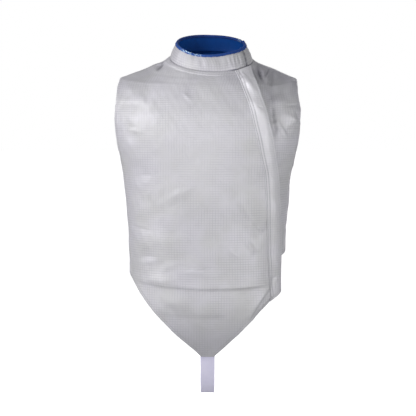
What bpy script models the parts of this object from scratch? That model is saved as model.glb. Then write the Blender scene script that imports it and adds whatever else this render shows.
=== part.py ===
# A foil lame: the sleeveless vest of metal cloth that a foil fencer wears.
# It keeps its worn, hollow form. Metres, +Z up, the front faces -Y, the wearer's left is +X.
# The origin is at shoulder level, in the middle of the neck, where the wearer holds it up.

import math
from collections import namedtuple

import bmesh
import bpy
import numpy as np
from mathutils import Vector

# Driving dimensions
CLOTH = 0.0016
COLLAR_CLOTH = 0.0012
LINING_CLOTH = 0.0010
BINDING_CLOTH = 0.0010
PLACKET_CLOTH = 0.0014
ZIP_TAPE = 0.0010
STRAP_CLOTH = 0.0015
SEAM_GAP = 0.0003

SHOULDER_TIP = -0.040
ARMPIT = -0.238
ARMHOLE_FRONT = 0.066
ARMHOLE_BACK = 0.058
ARMHOLE_LOW = 0.92
ARMHOLE_ROUND = 0.5
SIDE_ROUND = 0.75

HIP_RIGHT = -0.4457
HIP_LEFT = -0.3960
LEFT_FRONT_HEM = -0.4080
V_TIP = -0.6117
V_TIP_RIGHT = -0.0145
V_TIP_LEFT = 0.0125

STRAP_WIDTH = 0.0290
STRAP_LOWEST = -0.7000
STRAP_HOLD = 0.026
STRAP_SEAT = 0.0008

# Sections of the filled body: width is to each side of centre, depths are to the front and to the back,
# and square is 2 for an ellipse and more for a boxier section.
Section = namedtuple("Section", "height width centre front back square")
SECTIONS = (
    Section(-0.640, 0.1580, -0.0010, 0.0740, 0.1080, 2.5),
    Section(-0.612, 0.1590, -0.0010, 0.0840, 0.1080, 2.5),
    Section(-0.570, 0.1600, -0.0010, 0.0960, 0.1080, 2.5),
    Section(-0.520, 0.1610, -0.0010, 0.1050, 0.1080, 2.5),
    Section(-0.480, 0.1620, -0.0010, 0.1090, 0.1080, 2.5),
    Section(-0.440, 0.1630, -0.0010, 0.1110, 0.1080, 2.5),
    Section(-0.395, 0.1640, -0.0015, 0.1110, 0.1060, 2.5),
    Section(-0.342, 0.1660, -0.0020, 0.1110, 0.1030, 2.5),
    Section(-0.290, 0.1705, -0.0015, 0.1130, 0.1040, 2.5),
    Section(-0.240, 0.1750, -0.0020, 0.1180, 0.1100, 2.5),
    Section(-0.200, 0.1825, -0.0010, 0.1220, 0.1150, 2.6),
    Section(-0.160, 0.1875, -0.0010, 0.1240, 0.1180, 2.7),
    Section(-0.120, 0.1905, -0.0010, 0.1180, 0.1150, 2.7),
    Section(-0.090, 0.1920, -0.0010, 0.1080, 0.1080, 2.6),
    Section(-0.060, 0.1910, -0.0010, 0.0960, 0.0980, 2.4),
    Section(-0.040, 0.1840, 0.0010, 0.0870, 0.0890, 2.2),
    Section(-0.032, 0.1650, 0.0035, 0.0830, 0.0850, 2.1),
    Section(-0.026, 0.1485, 0.0050, 0.0800, 0.0810, 2.1),
    Section(-0.019, 0.1305, 0.0055, 0.0760, 0.0760, 2.0),
    Section(-0.013, 0.1145, 0.0045, 0.0725, 0.0720, 2.0),
    Section(-0.006, 0.0965, 0.0060, 0.0690, 0.0670, 2.0),
    Section(0.000, 0.0865, 0.0070, 0.0660, 0.0640, 2.0),
)

# The two edges of the collar. Each is a tilted oval that rises a little at the sides.
Ring = namedtuple("Ring", "centre_x centre_y width front back middle tilt roll rise")
NECKLINE = Ring(0.0070, 0.000, 0.0865, 0.0660, 0.0640, -0.0010, 0.342, -0.030, 0.003)
COLLAR_TOP = Ring(0.0065, 0.001, 0.0735, 0.0560, 0.0580, 0.0305, 0.410, -0.034, 0.002)
NECK_BLEND = 0.110
COLLAR_BELLY = 0.0015
COLLAR_OVER_END = math.radians(35)
COLLAR_UNDER_END = math.radians(410)
COLLAR_RAMP = math.radians(42)
COLLAR_PARTING = 0.0029
COLLAR_TURNS = tuple(np.linspace(COLLAR_OVER_END, COLLAR_UNDER_END, 49))
COLLAR_RISES = (0.015, 0.5, 0.97)
BINDING_RISES = (0.86, 1.03)

# The closing: the placket's sewn line and its free edge, in front view.
Closing = namedtuple("Closing", "height sewn free")
CLOSINGS = (
    Closing(-0.500, 0.1290, 0.1475),
    Closing(-0.420, 0.1235, 0.1470),
    Closing(-0.380, 0.1200, 0.1462),
    Closing(-0.300, 0.1168, 0.1443),
    Closing(-0.234, 0.1132, 0.1408),
    Closing(-0.203, 0.1072, 0.1363),
    Closing(-0.161, 0.0988, 0.1299),
    Closing(-0.136, 0.0932, 0.1243),
    Closing(-0.111, 0.0877, 0.1185),
    Closing(-0.080, 0.0800, 0.1096),
    Closing(-0.055, 0.0723, 0.1029),
    Closing(-0.025, 0.0640, 0.0935),
    Closing(0.000, 0.0540, 0.0850),
)

# Places across the closing, from 0 at the placket's sewn line to 1 at its free edge.
SEWN = 0.0
FRONT_EDGE = 0.43
LEFT_EDGE = 0.57
FREE = 1.0
PLACKET_PARTS = (SEWN, 0.22, FRONT_EDGE, LEFT_EDGE, 0.78, FREE)
PLACKET_LIFTS = (0.0003, 0.0016, 0.0024, 0.0024, 0.0021, 0.0016)
ZIP_PARTS = (0.22, 0.445, 0.46, 0.54, 0.555, 0.78)
ZIP_SEAT = 0.0004
ZIP_TEETH_TOP = -0.0004
SLIDER_TOP = 0.0019

# Height of each cross-section of the slider with its tab, and its two sides across the closing.
SliderRow = namedtuple("SliderRow", "height right left")
SLIDER = (
    SliderRow(-0.0560, 0.46, 0.54),
    SliderRow(-0.0400, 0.46, 0.54),
    SliderRow(-0.0385, 0.45, 0.55),
    SliderRow(-0.0290, 0.45, 0.55),
    SliderRow(-0.0275, 0.46, 0.54),
)

# The front's lower edge in front view, from the wearer's right hip round the V to the closing.
HemPoint = namedtuple("HemPoint", "x height")
V_HEM = (
    HemPoint(-0.1650, -0.4420),
    HemPoint(-0.1619, -0.4457),
    HemPoint(-0.1409, -0.4765),
    HemPoint(-0.1238, -0.5014),
    HemPoint(-0.0966, -0.5322),
    HemPoint(-0.0636, -0.5642),
    HemPoint(-0.0267, -0.5982),
    HemPoint(V_TIP_RIGHT, V_TIP),
    HemPoint(V_TIP_LEFT, V_TIP),
    HemPoint(0.1256, -0.4985),
    HemPoint(0.1480, -0.4760),
)

# The largest folds. x and z are in front or back view, turn is the fold's direction in degrees from
# level, and height is positive for a ridge and negative for a trough.
Fold = namedtuple("Fold", "face x z turn length width height")
FOLDS = (
    Fold("front", -0.005, -0.458, 0, 0.330, 0.0090, 0.0026),
    Fold("front", -0.005, -0.472, 0, 0.330, 0.0120, -0.0026),
    Fold("front", -0.030, -0.524, -4, 0.150, 0.0160, -0.0016),
    Fold("front", 0.110, -0.490, 58, 0.075, 0.0110, 0.0030),
    Fold("front", 0.125, -0.500, 58, 0.060, 0.0100, -0.0022),
    Fold("front", -0.057, -0.284, 25, 0.080, 0.0160, 0.0020),
    Fold("front", 0.085, -0.320, -60, 0.120, 0.0150, 0.0022),
    Fold("front", 0.070, -0.345, -50, 0.110, 0.0150, -0.0016),
    Fold("front", -0.090, -0.365, -25, 0.060, 0.0140, 0.0018),
    Fold("front", -0.030, -0.430, -8, 0.090, 0.0120, 0.0018),
    Fold("front", -0.150, -0.105, 0, 0.060, 0.0140, 0.0020),
    Fold("front", -0.142, -0.140, -78, 0.080, 0.0140, 0.0024),
    Fold("front", -0.158, -0.152, 6, 0.060, 0.0140, -0.0018),
    Fold("front", 0.158, -0.335, -60, 0.060, 0.0110, -0.0020),
    Fold("front", 0.160, -0.300, 12, 0.050, 0.0110, 0.0016),
    Fold("back", -0.060, -0.210, 22, 0.150, 0.0180, 0.0024),
    Fold("back", 0.075, -0.225, -28, 0.130, 0.0180, 0.0024),
    Fold("back", 0.010, -0.330, 4, 0.180, 0.0160, 0.0020),
    Fold("back", -0.020, -0.360, -7, 0.160, 0.0160, -0.0018),
    Fold("back", 0.120, -0.140, 76, 0.100, 0.0160, 0.0020),
)
SEAM_FADE = 0.020
NECK_FADE = (-0.006, -0.030)

# Heights of the rows of points, from the tip of the V to the neck. They are close where the form turns.
HEIGHTS = (
    -0.6117, -0.592, -0.570, -0.548, -0.527, -0.507, -0.492, -0.481, -0.472, -0.465,
    -0.458, -0.451, -0.443, -0.430, -0.4165, -0.403, -0.389, -0.372, -0.354, -0.336,
    -0.318, -0.300, -0.281, -0.261, -0.2384, -0.2374, -0.235, -0.229, -0.218, -0.203, -0.186,
    -0.167, -0.148, -0.129, -0.110, -0.092, -0.075, -0.060, -0.049, -0.0425, -0.0400,
    -0.032, -0.025, -0.018, -0.012, -0.0065, -0.003, 0.000,
)
LEAST_ROW = 0.0012


def smooth_step(low, high, value):
    """0 at low, 1 at high, and smooth between them."""
    part = min(max((value - low) / (high - low), 0.0), 1.0)
    return part * part * (3 - 2 * part)


def smooth_curve(places, values):
    """A smooth curve through the values, with no overshoot."""
    places = np.array(places)
    values = np.array(values)
    slopes = np.diff(values) / np.diff(places)
    tangents = np.concatenate(([slopes[0]], np.zeros(len(slopes) - 1), [slopes[-1]]))
    for i in range(1, len(slopes)):
        before, after = slopes[i - 1], slopes[i]
        if before * after > 0:
            tangents[i] = 2 * before * after / (before + after)

    def value_at(place):
        place = min(max(place, places[0]), places[-1])
        i = min(int(np.searchsorted(places, place, side="right")) - 1, len(slopes) - 1)
        span = places[i + 1] - places[i]
        part = (place - places[i]) / span
        start = (1 + 2 * part) * (1 - part) ** 2 * values[i] + part * (1 - part) ** 2 * span * tangents[i]
        end = part * part * (3 - 2 * part) * values[i + 1] + part * part * (part - 1) * span * tangents[i + 1]
        return float(start + end)

    return value_at


def curves_of(table, place):
    """A smooth curve for each column of a table, along the column named place."""
    places = [getattr(row, place) for row in table]
    return {
        column: smooth_curve(places, [getattr(row, column) for row in table])
        for column in table[0]._fields
        if column != place
    }


SECTION = curves_of(SECTIONS, "height")
CLOSING = curves_of(CLOSINGS, "height")


def armhole_gap(height, face, roundness=ARMHOLE_ROUND):
    """How far an armhole's edge lies from the side seam's plane at this height."""
    most = ARMHOLE_FRONT if face == "front" else ARMHOLE_BACK
    part = (SHOULDER_TIP - height) / (SHOULDER_TIP - ARMPIT)
    if not 0 < part < 1:
        return SEAM_GAP / 2
    return max(most * math.sin(math.pi * part ** ARMHOLE_LOW) ** roundness, SEAM_GAP / 2)


def side_turn(height, face):
    """The turn, from the side, at which a panel's side edge lies."""
    part = armhole_gap(height, face) / SECTION[face](height)
    return math.asin(part ** (SECTION["square"](height) / 2))


def half_width(height, face):
    """The section's width to one side, wide enough that an armhole's edge reaches the outline."""
    gap = armhole_gap(height, face, SIDE_ROUND)
    square = SECTION["square"](height)
    filled = (1 - (gap / SECTION[face](height)) ** square) ** (1 / square)
    return SECTION["width"](height) / filled


def ring_point(ring, turn):
    """A point of one of the collar's edges. Turn is 0 at the wearer's left and a quarter at the front."""
    across, along = math.cos(turn), math.sin(turn)
    x = ring.width * across
    y = -along * (ring.front if along > 0 else ring.back)
    z = ring.middle + ring.tilt * y + ring.roll * x + ring.rise * across * across
    return Vector((ring.centre_x + x, ring.centre_y + y, z))


def body_point(turn, height):
    """A point of the filled body's surface, with its sections bent to meet the neckline."""
    across, along = math.cos(turn), math.sin(turn)
    face = "front" if along > 0 else "back"
    power = 2 / SECTION["square"](height)
    x = SECTION["centre"](height) + half_width(height, face) * math.copysign(abs(across) ** power, across)
    y = -math.copysign(abs(along) ** power, along) * SECTION[face](height)
    bend = max(1 + height / NECK_BLEND, 0.0) ** 1.3
    return Vector((x, y, height + bend * ring_point(NECKLINE, turn).z))


def body_normal(turn, height):
    """Out of the body, across its surface."""
    step_turn, step_height = 0.004, 0.0005
    up = body_point(turn, height + step_height) - body_point(turn, height - step_height)
    round_body = body_point(turn + step_turn, height) - body_point(turn - step_turn, height)
    return up.cross(round_body).normalized()


def fold_height(point, height, face):
    """How far the folds lift the cloth at a point."""
    total = 0.0
    for fold in FOLDS:
        if fold.face != face:
            continue
        lean = math.radians(fold.turn)
        right, up = point.x - fold.x, point.z - fold.z
        along = (right * math.cos(lean) + up * math.sin(lean)) * 2 / fold.length
        across = (up * math.cos(lean) - right * math.sin(lean)) / fold.width
        if abs(along) < 1:
            total += fold.height * (1 - along * along) ** 2 * math.exp(-across * across)
    fade = smooth_step(0, SEAM_FADE, abs(point.y)) * smooth_step(NECK_FADE[0], NECK_FADE[1], height)
    return total * fade


def cloth_point(turn, height, out):
    """A point of the vest's cloth, so far outside its outer face."""
    point = body_point(turn, height)
    face = "front" if math.sin(turn) > 0 else "back"
    return point + body_normal(turn, height) * (fold_height(point, height, face) + out)


def turn_of_x(x, height):
    """The turn at which the front's surface has this x."""
    across = (x - SECTION["centre"](height)) / half_width(height, "front")
    return math.acos(min(abs(across), 1.0) ** (SECTION["square"](height) / 2))


def closing_turn(part, height):
    """The turn across the placket: part is 0 at its sewn line and 1 at its free edge."""
    x = CLOSING["sewn"](height) * (1 - part) + CLOSING["free"](height) * part
    return turn_of_x(x, height)


def v_hem_height(x):
    """Height of the front's lower edge at this x."""
    return float(np.interp(x, [row.x for row in V_HEM], [row.height for row in V_HEM]))


def back_hem_height(x):
    """Height of the back's lower edge, which runs level from hip to hip but for its drop to the right."""
    return HIP_LEFT + (HIP_RIGHT - HIP_LEFT) * smooth_step(0.150, -0.150, x)


def left_hem_height(x):
    """Height of the left front's lower edge, from the side seam to the closing."""
    return HIP_LEFT + (LEFT_FRONT_HEM - HIP_LEFT) * smooth_step(0.162, 0.138, x)


def meet_hem(turn_at, hem_height):
    """The height at which a column of points meets the hem."""
    height = HIP_LEFT
    for _ in range(12):
        height = hem_height(body_point(turn_at(height), height).x)
    return height


def column_heights(lowest):
    """The rows' heights on one column. Rows that would fall below the hem lie close together above it."""
    return [max(row, lowest + LEAST_ROW * i) for i, row in enumerate(HEIGHTS)]


def panel_grid(columns, hem_height):
    """(turn, height) of each point of a panel, row by row from the hem up."""
    placed = []
    for turn_at in columns:
        heights = column_heights(meet_hem(turn_at, hem_height))
        placed.append([(turn_at(height), height) for height in heights])
    return [list(row) for row in zip(*placed)]


def drop_lowest(grid, rows):
    """The grid without its lowest rows but the hem's own, for a hem that is high all along."""
    return [grid[0]] + grid[rows:]


def material(name, colour, roughness, metallic):
    """A plain material."""
    made = bpy.data.materials.new(name)
    made.use_nodes = True
    shader = made.node_tree.nodes["Principled BSDF"]
    shader.inputs["Base Color"].default_value = (*colour, 1)
    shader.inputs["Roughness"].default_value = roughness
    shader.inputs["Metallic"].default_value = metallic
    made.diffuse_color = (*colour, 1)
    return made


def finish(name, vertices, faces, made_of):
    """One closed object from points and faces, its faces outwards and its round surfaces smooth."""
    mesh = bpy.data.meshes.new(name)
    shape = bmesh.new()
    points = [shape.verts.new(vertex) for vertex in vertices]
    for face in faces:
        shape.faces.new([points[i] for i in face])
    bmesh.ops.recalc_face_normals(shape, faces=shape.faces)
    shape.to_mesh(mesh)
    shape.free()
    mesh.shade_smooth()
    mesh.set_sharp_from_angle(angle=math.radians(50))
    mesh.materials.append(made_of)
    made = bpy.data.objects.new(name, mesh)
    bpy.context.collection.objects.link(made)
    return made


def wall(name, place, grid, outer, inner, made_of):
    """A closed wall of cloth between two offsets of a surface, each one value or one for each column."""
    rows, columns = len(grid), len(grid[0])
    vertices = []
    for offset in (outer, inner):
        for row in grid:
            for i, (u, v) in enumerate(row):
                vertices.append(place(u, v, offset[i] if isinstance(offset, (list, tuple)) else offset))
    layer = rows * columns
    faces = []
    for r in range(rows - 1):
        for c in range(columns - 1):
            a = r * columns + c
            b, d, e = a + 1, a + columns, a + columns + 1
            faces += [(a, b, e), (a, e, d)]
            faces += [(a + layer, e + layer, b + layer), (a + layer, d + layer, e + layer)]
    border = list(range(columns))
    border += [r * columns + columns - 1 for r in range(1, rows)]
    border += [(rows - 1) * columns + c for c in range(columns - 2, -1, -1)]
    border += [r * columns for r in range(rows - 2, 0, -1)]
    for a, b in zip(border, border[1:] + border[:1]):
        faces.append((a, a + layer, b + layer, b))
    return finish(name, vertices, faces, made_of)


def swept(name, place, path, profile, made_of):
    """A closed solid from a profile of (v, out) pairs carried along the places of a path."""
    count = len(profile)
    vertices = [place(u, v, out) for u in path for v, out in profile]
    faces = []
    for i in range(len(path) - 1):
        for j in range(count):
            a, b = i * count + j, i * count + (j + 1) % count
            faces += [(a, b, b + count), (a, b + count, a + count)]
    faces.append(tuple(range(count)))
    faces.append(tuple((len(path) - 1) * count + j for j in range(count)))
    return finish(name, vertices, faces, made_of)


def mixed(first, second, part):
    """A column between two others, as a function from height to turn."""
    return lambda height: first(height) * (1 - part) + second(height) * part


def right_side(height):
    return math.pi - side_turn(height, "front")


def left_side(height):
    return side_turn(height, "front")


def sewn_line(height):
    return closing_turn(SEWN, height)


def closing_columns(parts):
    """Columns of points along the placket."""
    return [lambda height, part=part: closing_turn(part, height) for part in parts]


def part_at_tip(x):
    """How far round the front, from the right side to the sewn line, this x lies at the tip of the V."""
    right, sewn = right_side(V_TIP), sewn_line(V_TIP)
    return (turn_of_front(x) - right) / (sewn - right)


def turn_of_front(x):
    """The turn at which the front has this x at the tip's height, on either side of centre."""
    turn = turn_of_x(x, V_TIP)
    return turn if x > SECTION["centre"](V_TIP) else math.pi - turn


def front_columns():
    """Columns of the front panel, with two of them on the corners of the V's tip."""
    right_corner, left_corner = part_at_tip(V_TIP_RIGHT), part_at_tip(V_TIP_LEFT)
    parts = list(np.linspace(0, right_corner, 11)[:-1])
    parts += list(np.linspace(right_corner, left_corner, 3)[:-1])
    parts += list(np.linspace(left_corner, 1, 9)[:-1])
    columns = [mixed(right_side, sewn_line, part) for part in parts]
    return columns + closing_columns((SEWN, 0.22, FRONT_EDGE))


def make_front_panel(cloth):
    grid = panel_grid(front_columns(), v_hem_height)
    return wall("front_panel", cloth_point, grid, 0, -CLOTH, cloth)


def make_left_front_panel(cloth):
    free_edge = closing_columns((FREE,))[0]
    columns = closing_columns((LEFT_EDGE, 0.78))
    columns += [mixed(free_edge, left_side, part) for part in (0.0, 0.35, 0.7, 1.0)]
    grid = drop_lowest(panel_grid(columns, left_hem_height), 15)
    return wall("left_front_panel", cloth_point, grid, 0, -CLOTH, cloth)


def make_back_panel(cloth):
    def left(height):
        return 2 * math.pi - side_turn(height, "back")

    def right(height):
        return math.pi + side_turn(height, "back")

    columns = [mixed(right, left, part) for part in np.linspace(0, 1, 21)]
    grid = drop_lowest(panel_grid(columns, back_hem_height), 12)
    return wall("back_panel", cloth_point, grid, 0, -CLOTH, cloth)


def make_placket(cloth):
    grid = panel_grid(closing_columns(PLACKET_PARTS), v_hem_height)[:-1]
    outer = [lift + PLACKET_CLOTH for lift in PLACKET_LIFTS]
    return wall("placket", cloth_point, grid, outer, list(PLACKET_LIFTS), cloth)


def make_zip(tape):
    """The zip's tapes, inside the fronts, with its closed teeth in the gap between them."""
    outer_tape = -CLOTH - ZIP_SEAT
    outer = [outer_tape, outer_tape, ZIP_TEETH_TOP, ZIP_TEETH_TOP, outer_tape, outer_tape]
    grid = panel_grid(closing_columns(ZIP_PARTS), left_hem_height)
    grid = drop_lowest(grid, 15)
    return wall("zip", cloth_point, grid, outer, outer_tape - ZIP_TAPE, tape)


def make_zip_slider(metal):
    """The slider at the top of the zip, with its tab lying down over the teeth."""
    grid = [
        [(closing_turn(part, row.height), row.height) for part in (row.right, row.left)]
        for row in SLIDER
    ]
    return wall("zip_slider", cloth_point, grid, SLIDER_TOP, ZIP_TEETH_TOP + SEAM_GAP, metal)


def collar_parting(turn):
    """How far out the collar lies, so that its over end passes clear of its under end."""
    over = smooth_step(COLLAR_OVER_END + COLLAR_RAMP, COLLAR_OVER_END + COLLAR_RAMP / 2, turn)
    under = smooth_step(COLLAR_UNDER_END - COLLAR_RAMP, COLLAR_UNDER_END - COLLAR_RAMP / 2, turn)
    return COLLAR_PARTING * (over - under)


def collar_point(turn, rise, out):
    """A point of the standing collar. Rise is 0 at the neckline and 1 at the top."""
    low, high = ring_point(NECKLINE, turn), ring_point(COLLAR_TOP, turn)
    step = 0.01
    round_collar = ring_point(NECKLINE, turn + step) - ring_point(NECKLINE, turn - step)
    normal = (high - low).cross(round_collar).normalized()
    bulge = COLLAR_BELLY * math.sin(math.pi * min(max(rise, 0.0), 1.0))
    return low.lerp(high, rise) + normal * (bulge + collar_parting(turn) + out)


def make_collar(cloth):
    grid = [[(turn, rise) for turn in COLLAR_TURNS] for rise in COLLAR_RISES]
    return wall("collar", collar_point, grid, 0, -COLLAR_CLOTH, cloth)


def make_collar_lining(lining):
    outer = -COLLAR_CLOTH - SEAM_GAP
    grid = [[(turn, rise) for turn in COLLAR_TURNS] for rise in COLLAR_RISES]
    return wall("collar_lining", collar_point, grid, outer, outer - LINING_CLOTH, lining)


def make_collar_binding(braid):
    """The binding folded over the collar's and the lining's top edges."""
    out = SEAM_GAP
    back = -COLLAR_CLOTH - LINING_CLOTH - 2 * SEAM_GAP
    low, top = BINDING_RISES
    inner_top = COLLAR_RISES[-1] + 0.01
    profile = (
        (low, out),
        (low, out + BINDING_CLOTH),
        (top, out + BINDING_CLOTH),
        (top, back - BINDING_CLOTH),
        (low, back - BINDING_CLOTH),
        (low, back),
        (inner_top, back),
        (inner_top, out),
    )
    return swept("collar_binding", collar_point, COLLAR_TURNS, profile, braid)


def hanging_curve(start, end, lowest, count):
    """Points, as (y, z), of a band that hangs from start to end under its own weight."""
    drop_start, drop_end = start[1] - lowest, end[1] - lowest
    span = end[0] - start[0]
    small, large = 0.001, 1.0
    for _ in range(60):
        middle = (small + large) / 2
        reach = middle * (math.acosh(1 + drop_start / middle) + math.acosh(1 + drop_end / middle))
        small, large = (middle, large) if reach < span else (small, middle)
    first, last = -math.acosh(1 + drop_start / middle), math.acosh(1 + drop_end / middle)
    sinh_first, sinh_last = math.sinh(first), math.sinh(last)
    points = []
    for i in range(count):
        place = math.asinh(sinh_first + (sinh_last - sinh_first) * i / (count - 1))
        y = start[0] + middle * (place - first)
        points.append((y, lowest + middle * (math.cosh(place) - 1)))
    return points


def strap_path():
    """The strap's middle line, as (y, z): inside the V's tip, down in a loop and up inside the back hem."""
    inside = CLOTH + STRAP_SEAT + STRAP_CLOTH / 2
    front_top, back_low = V_TIP + STRAP_HOLD, back_hem_height(0)

    def front(height):
        return (cloth_point(math.pi / 2, height, -inside).y, height)

    def back(height):
        return (cloth_point(1.5 * math.pi, height, -inside).y, height)

    path = [front(front_top - STRAP_HOLD * i / 3) for i in range(4)]
    path += hanging_curve(front(V_TIP - 0.003), back(back_low - 0.003), STRAP_LOWEST, 30)
    path += [back(back_low + STRAP_HOLD * i / 3) for i in range(4)]
    return path


def make_crotch_strap(elastic):
    path = [Vector((0, y, z)) for y, z in strap_path()]
    middle_x = (V_TIP_RIGHT + V_TIP_LEFT) / 2
    rear_shift = 0.0025

    def strap_point(across, place, out):
        i = int(place)
        before, after = path[max(i - 1, 0)], path[min(i + 1, len(path) - 1)]
        normal = Vector((1, 0, 0)).cross(after - before).normalized()
        drift = rear_shift * smooth_step(0.4, 0.9, place / len(path))
        return path[i] + normal * out + Vector((middle_x + drift + across, 0, 0))

    half = STRAP_WIDTH / 2
    grid = [[(across, i) for across in (-half, half)] for i in range(len(path))]
    return wall("crotch_strap", strap_point, grid, STRAP_CLOTH / 2, -STRAP_CLOTH / 2, elastic)


def main():
    for old in list(bpy.data.objects):
        bpy.data.objects.remove(old)
    make_front_panel(material("front_cloth", (0.50, 0.50, 0.53), 0.45, 0.5))
    make_left_front_panel(material("left_front_cloth", (0.47, 0.47, 0.50), 0.45, 0.5))
    make_back_panel(material("back_cloth", (0.48, 0.48, 0.51), 0.45, 0.5))
    make_placket(material("placket_cloth", (0.46, 0.46, 0.49), 0.45, 0.5))
    make_zip(material("zip_tape", (0.60, 0.60, 0.62), 0.7, 0.0))
    make_zip_slider(material("slider_metal", (0.62, 0.62, 0.64), 0.35, 1.0))
    make_collar(material("collar_cloth", (0.47, 0.47, 0.50), 0.45, 0.5))
    make_collar_lining(material("lining_cloth", (0.010, 0.045, 0.16), 0.65, 0.0))
    make_collar_binding(material("binding_braid", (0.015, 0.09, 0.38), 0.5, 0.0))
    make_crotch_strap(material("strap_elastic", (0.56, 0.56, 0.72), 0.75, 0.0))


main()
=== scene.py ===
import math

import bpy
import numpy as np
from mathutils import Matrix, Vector


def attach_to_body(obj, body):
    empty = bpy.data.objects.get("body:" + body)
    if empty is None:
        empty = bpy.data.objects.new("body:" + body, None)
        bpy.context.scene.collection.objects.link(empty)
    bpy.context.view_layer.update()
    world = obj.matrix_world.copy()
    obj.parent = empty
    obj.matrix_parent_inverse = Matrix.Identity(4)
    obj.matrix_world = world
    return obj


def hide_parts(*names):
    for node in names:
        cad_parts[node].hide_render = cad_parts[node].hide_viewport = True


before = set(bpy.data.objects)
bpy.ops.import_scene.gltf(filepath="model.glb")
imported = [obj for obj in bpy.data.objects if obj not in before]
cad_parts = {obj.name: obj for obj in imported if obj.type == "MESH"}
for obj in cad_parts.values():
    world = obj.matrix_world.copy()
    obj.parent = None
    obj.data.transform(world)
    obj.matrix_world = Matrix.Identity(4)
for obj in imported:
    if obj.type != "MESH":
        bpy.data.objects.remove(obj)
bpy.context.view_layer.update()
print("The frame is loaded")

# Camera, floor and light

view = {
    "target": (0.0, 0.0, -0.3087),
    "distance": 3.0,
    "elevation": 5.0,  # degrees above level
    "frameWidth": 0.8736,  # what the square frame takes in at the target
    "sensor": 36.0,
    "floorHeight": -1.15,
    "floorSize": 40.0,
    "floorColour": (0.70, 0.70, 0.70),
    "floorGlow": 1.0,  # seen by the camera alone, so that floor and surround are one white
    "surround": (0.95, 0.95, 1.0),
    "level": 0.42,  # light that comes from level directions
    "above": 0.13,
    "below": 0.03,
    "levelBand": (0.42, 0.58),  # from where to where, between straight down at 0 and straight up at 1
    "backdropStrength": 1.0,
}

# Name, place, point it faces, width, height, watts, colour
lamps = (
    ("keyLamp", (-2.2, -1.5, 0.95), (0.0, 0.0, -0.15), 1.3, 1.0, 55.0, (1.0, 0.99, 1.0)),
    ("fillLamp", (1.8, -2.3, -0.2), (0.0, 0.0, -0.15), 1.3, 1.0, 25.0, (1.0, 1.0, 0.98)),
    ("backLamp", (0.6, 2.6, 0.1), (0.0, 0.0, -0.3), 1.8, 1.4, 26.0, (1.0, 1.0, 1.0)),
)


def linkUp(thing):
    bpy.context.scene.collection.objects.link(thing)
    return thing


def facing(place, target):  # the turn that points -Z from place to target
    return (Vector(target) - Vector(place)).to_track_quat("-Z", "Y").to_euler()


def makeCamera():
    data = bpy.data.cameras.new("photoCamera")
    data.sensor_width = view["sensor"]
    data.lens = view["sensor"] * view["distance"] / view["frameWidth"]
    camera = linkUp(bpy.data.objects.new("photoCamera", data))
    lean = math.radians(view["elevation"])
    away = Vector((0, -math.cos(lean), math.sin(lean))) * view["distance"]
    camera.location = Vector(view["target"]) + away
    camera.rotation_euler = facing(camera.location, view["target"])
    bpy.context.scene.camera = camera


def makeLamps():
    for name, place, target, width, height, watts, colour in lamps:
        data = bpy.data.lights.new(name, "AREA")
        data.shape = "RECTANGLE"
        data.size, data.size_y = width, height
        data.energy, data.color = watts, colour
        lamp = linkUp(bpy.data.objects.new(name, data))
        lamp.location = place
        lamp.rotation_euler = facing(place, target)


def makeSurround():
    world = bpy.data.worlds.new("paleStudio")
    bpy.context.scene.world = world
    world.use_nodes = True
    nodes, links = world.node_tree.nodes, world.node_tree.links
    nodes.clear()
    room = nodes.new("ShaderNodeBackground")
    room.inputs["Color"].default_value = (*view["surround"], 1)
    up = nodes.new("ShaderNodeSeparateXYZ")
    links.new(nodes.new("ShaderNodeTexCoord").outputs["Generated"], up.inputs[0])
    level = nodes.new("ShaderNodeValToRGB")
    stops = level.color_ramp.elements
    stops[0].color = (*[view["below"]] * 3, 1)
    stops[1].color = (*[view["above"]] * 3, 1)
    for place in view["levelBand"]:
        stops.new(place).color = (*[view["level"]] * 3, 1)
    half = nodes.new("ShaderNodeMath")
    half.operation = "MULTIPLY_ADD"
    half.inputs[1].default_value = half.inputs[2].default_value = 0.5
    links.new(up.outputs["Z"], half.inputs[0])
    links.new(half.outputs[0], level.inputs[0])
    links.new(level.outputs[0], room.inputs["Strength"])
    seen = nodes.new("ShaderNodeBackground")
    seen.inputs["Color"].default_value = (1, 1, 1, 1)
    seen.inputs["Strength"].default_value = view["backdropStrength"]
    path = nodes.new("ShaderNodeLightPath")
    mix = nodes.new("ShaderNodeMixShader")
    out = nodes.new("ShaderNodeOutputWorld")
    links.new(path.outputs["Is Camera Ray"], mix.inputs[0])
    links.new(room.outputs[0], mix.inputs[1])
    links.new(seen.outputs[0], mix.inputs[2])
    links.new(mix.outputs[0], out.inputs["Surface"])
    bpy.context.scene.view_settings.view_transform = "Standard"


def makeFloor():
    half = view["floorSize"] / 2
    mesh = bpy.data.meshes.new("paleFloor")
    corners = [(-half, -half, 0), (half, -half, 0), (half, half, 0), (-half, half, 0)]
    mesh.from_pydata(corners, [], [(0, 1, 2, 3)])
    paint = bpy.data.materials.new("paleFloor")
    paint.use_nodes = True
    shader = paint.node_tree.nodes["Principled BSDF"]
    shader.inputs["Base Color"].default_value = (*view["floorColour"], 1)
    shader.inputs["Roughness"].default_value = 0.8
    shader.inputs["Emission Color"].default_value = (1, 1, 1, 1)
    path = paint.node_tree.nodes.new("ShaderNodeLightPath")
    glow = paint.node_tree.nodes.new("ShaderNodeMath")
    glow.operation = "MULTIPLY"
    glow.inputs[1].default_value = view["floorGlow"]
    paint.node_tree.links.new(path.outputs["Is Camera Ray"], glow.inputs[0])
    paint.node_tree.links.new(glow.outputs[0], shader.inputs["Emission Strength"])
    mesh.materials.append(paint)
    floor = linkUp(bpy.data.objects.new("paleFloor", mesh))
    floor.location.z = view["floorHeight"]


makeCamera()
makeLamps()
makeSurround()
makeFloor()
print("Camera, lamps and floor are in place")

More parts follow.
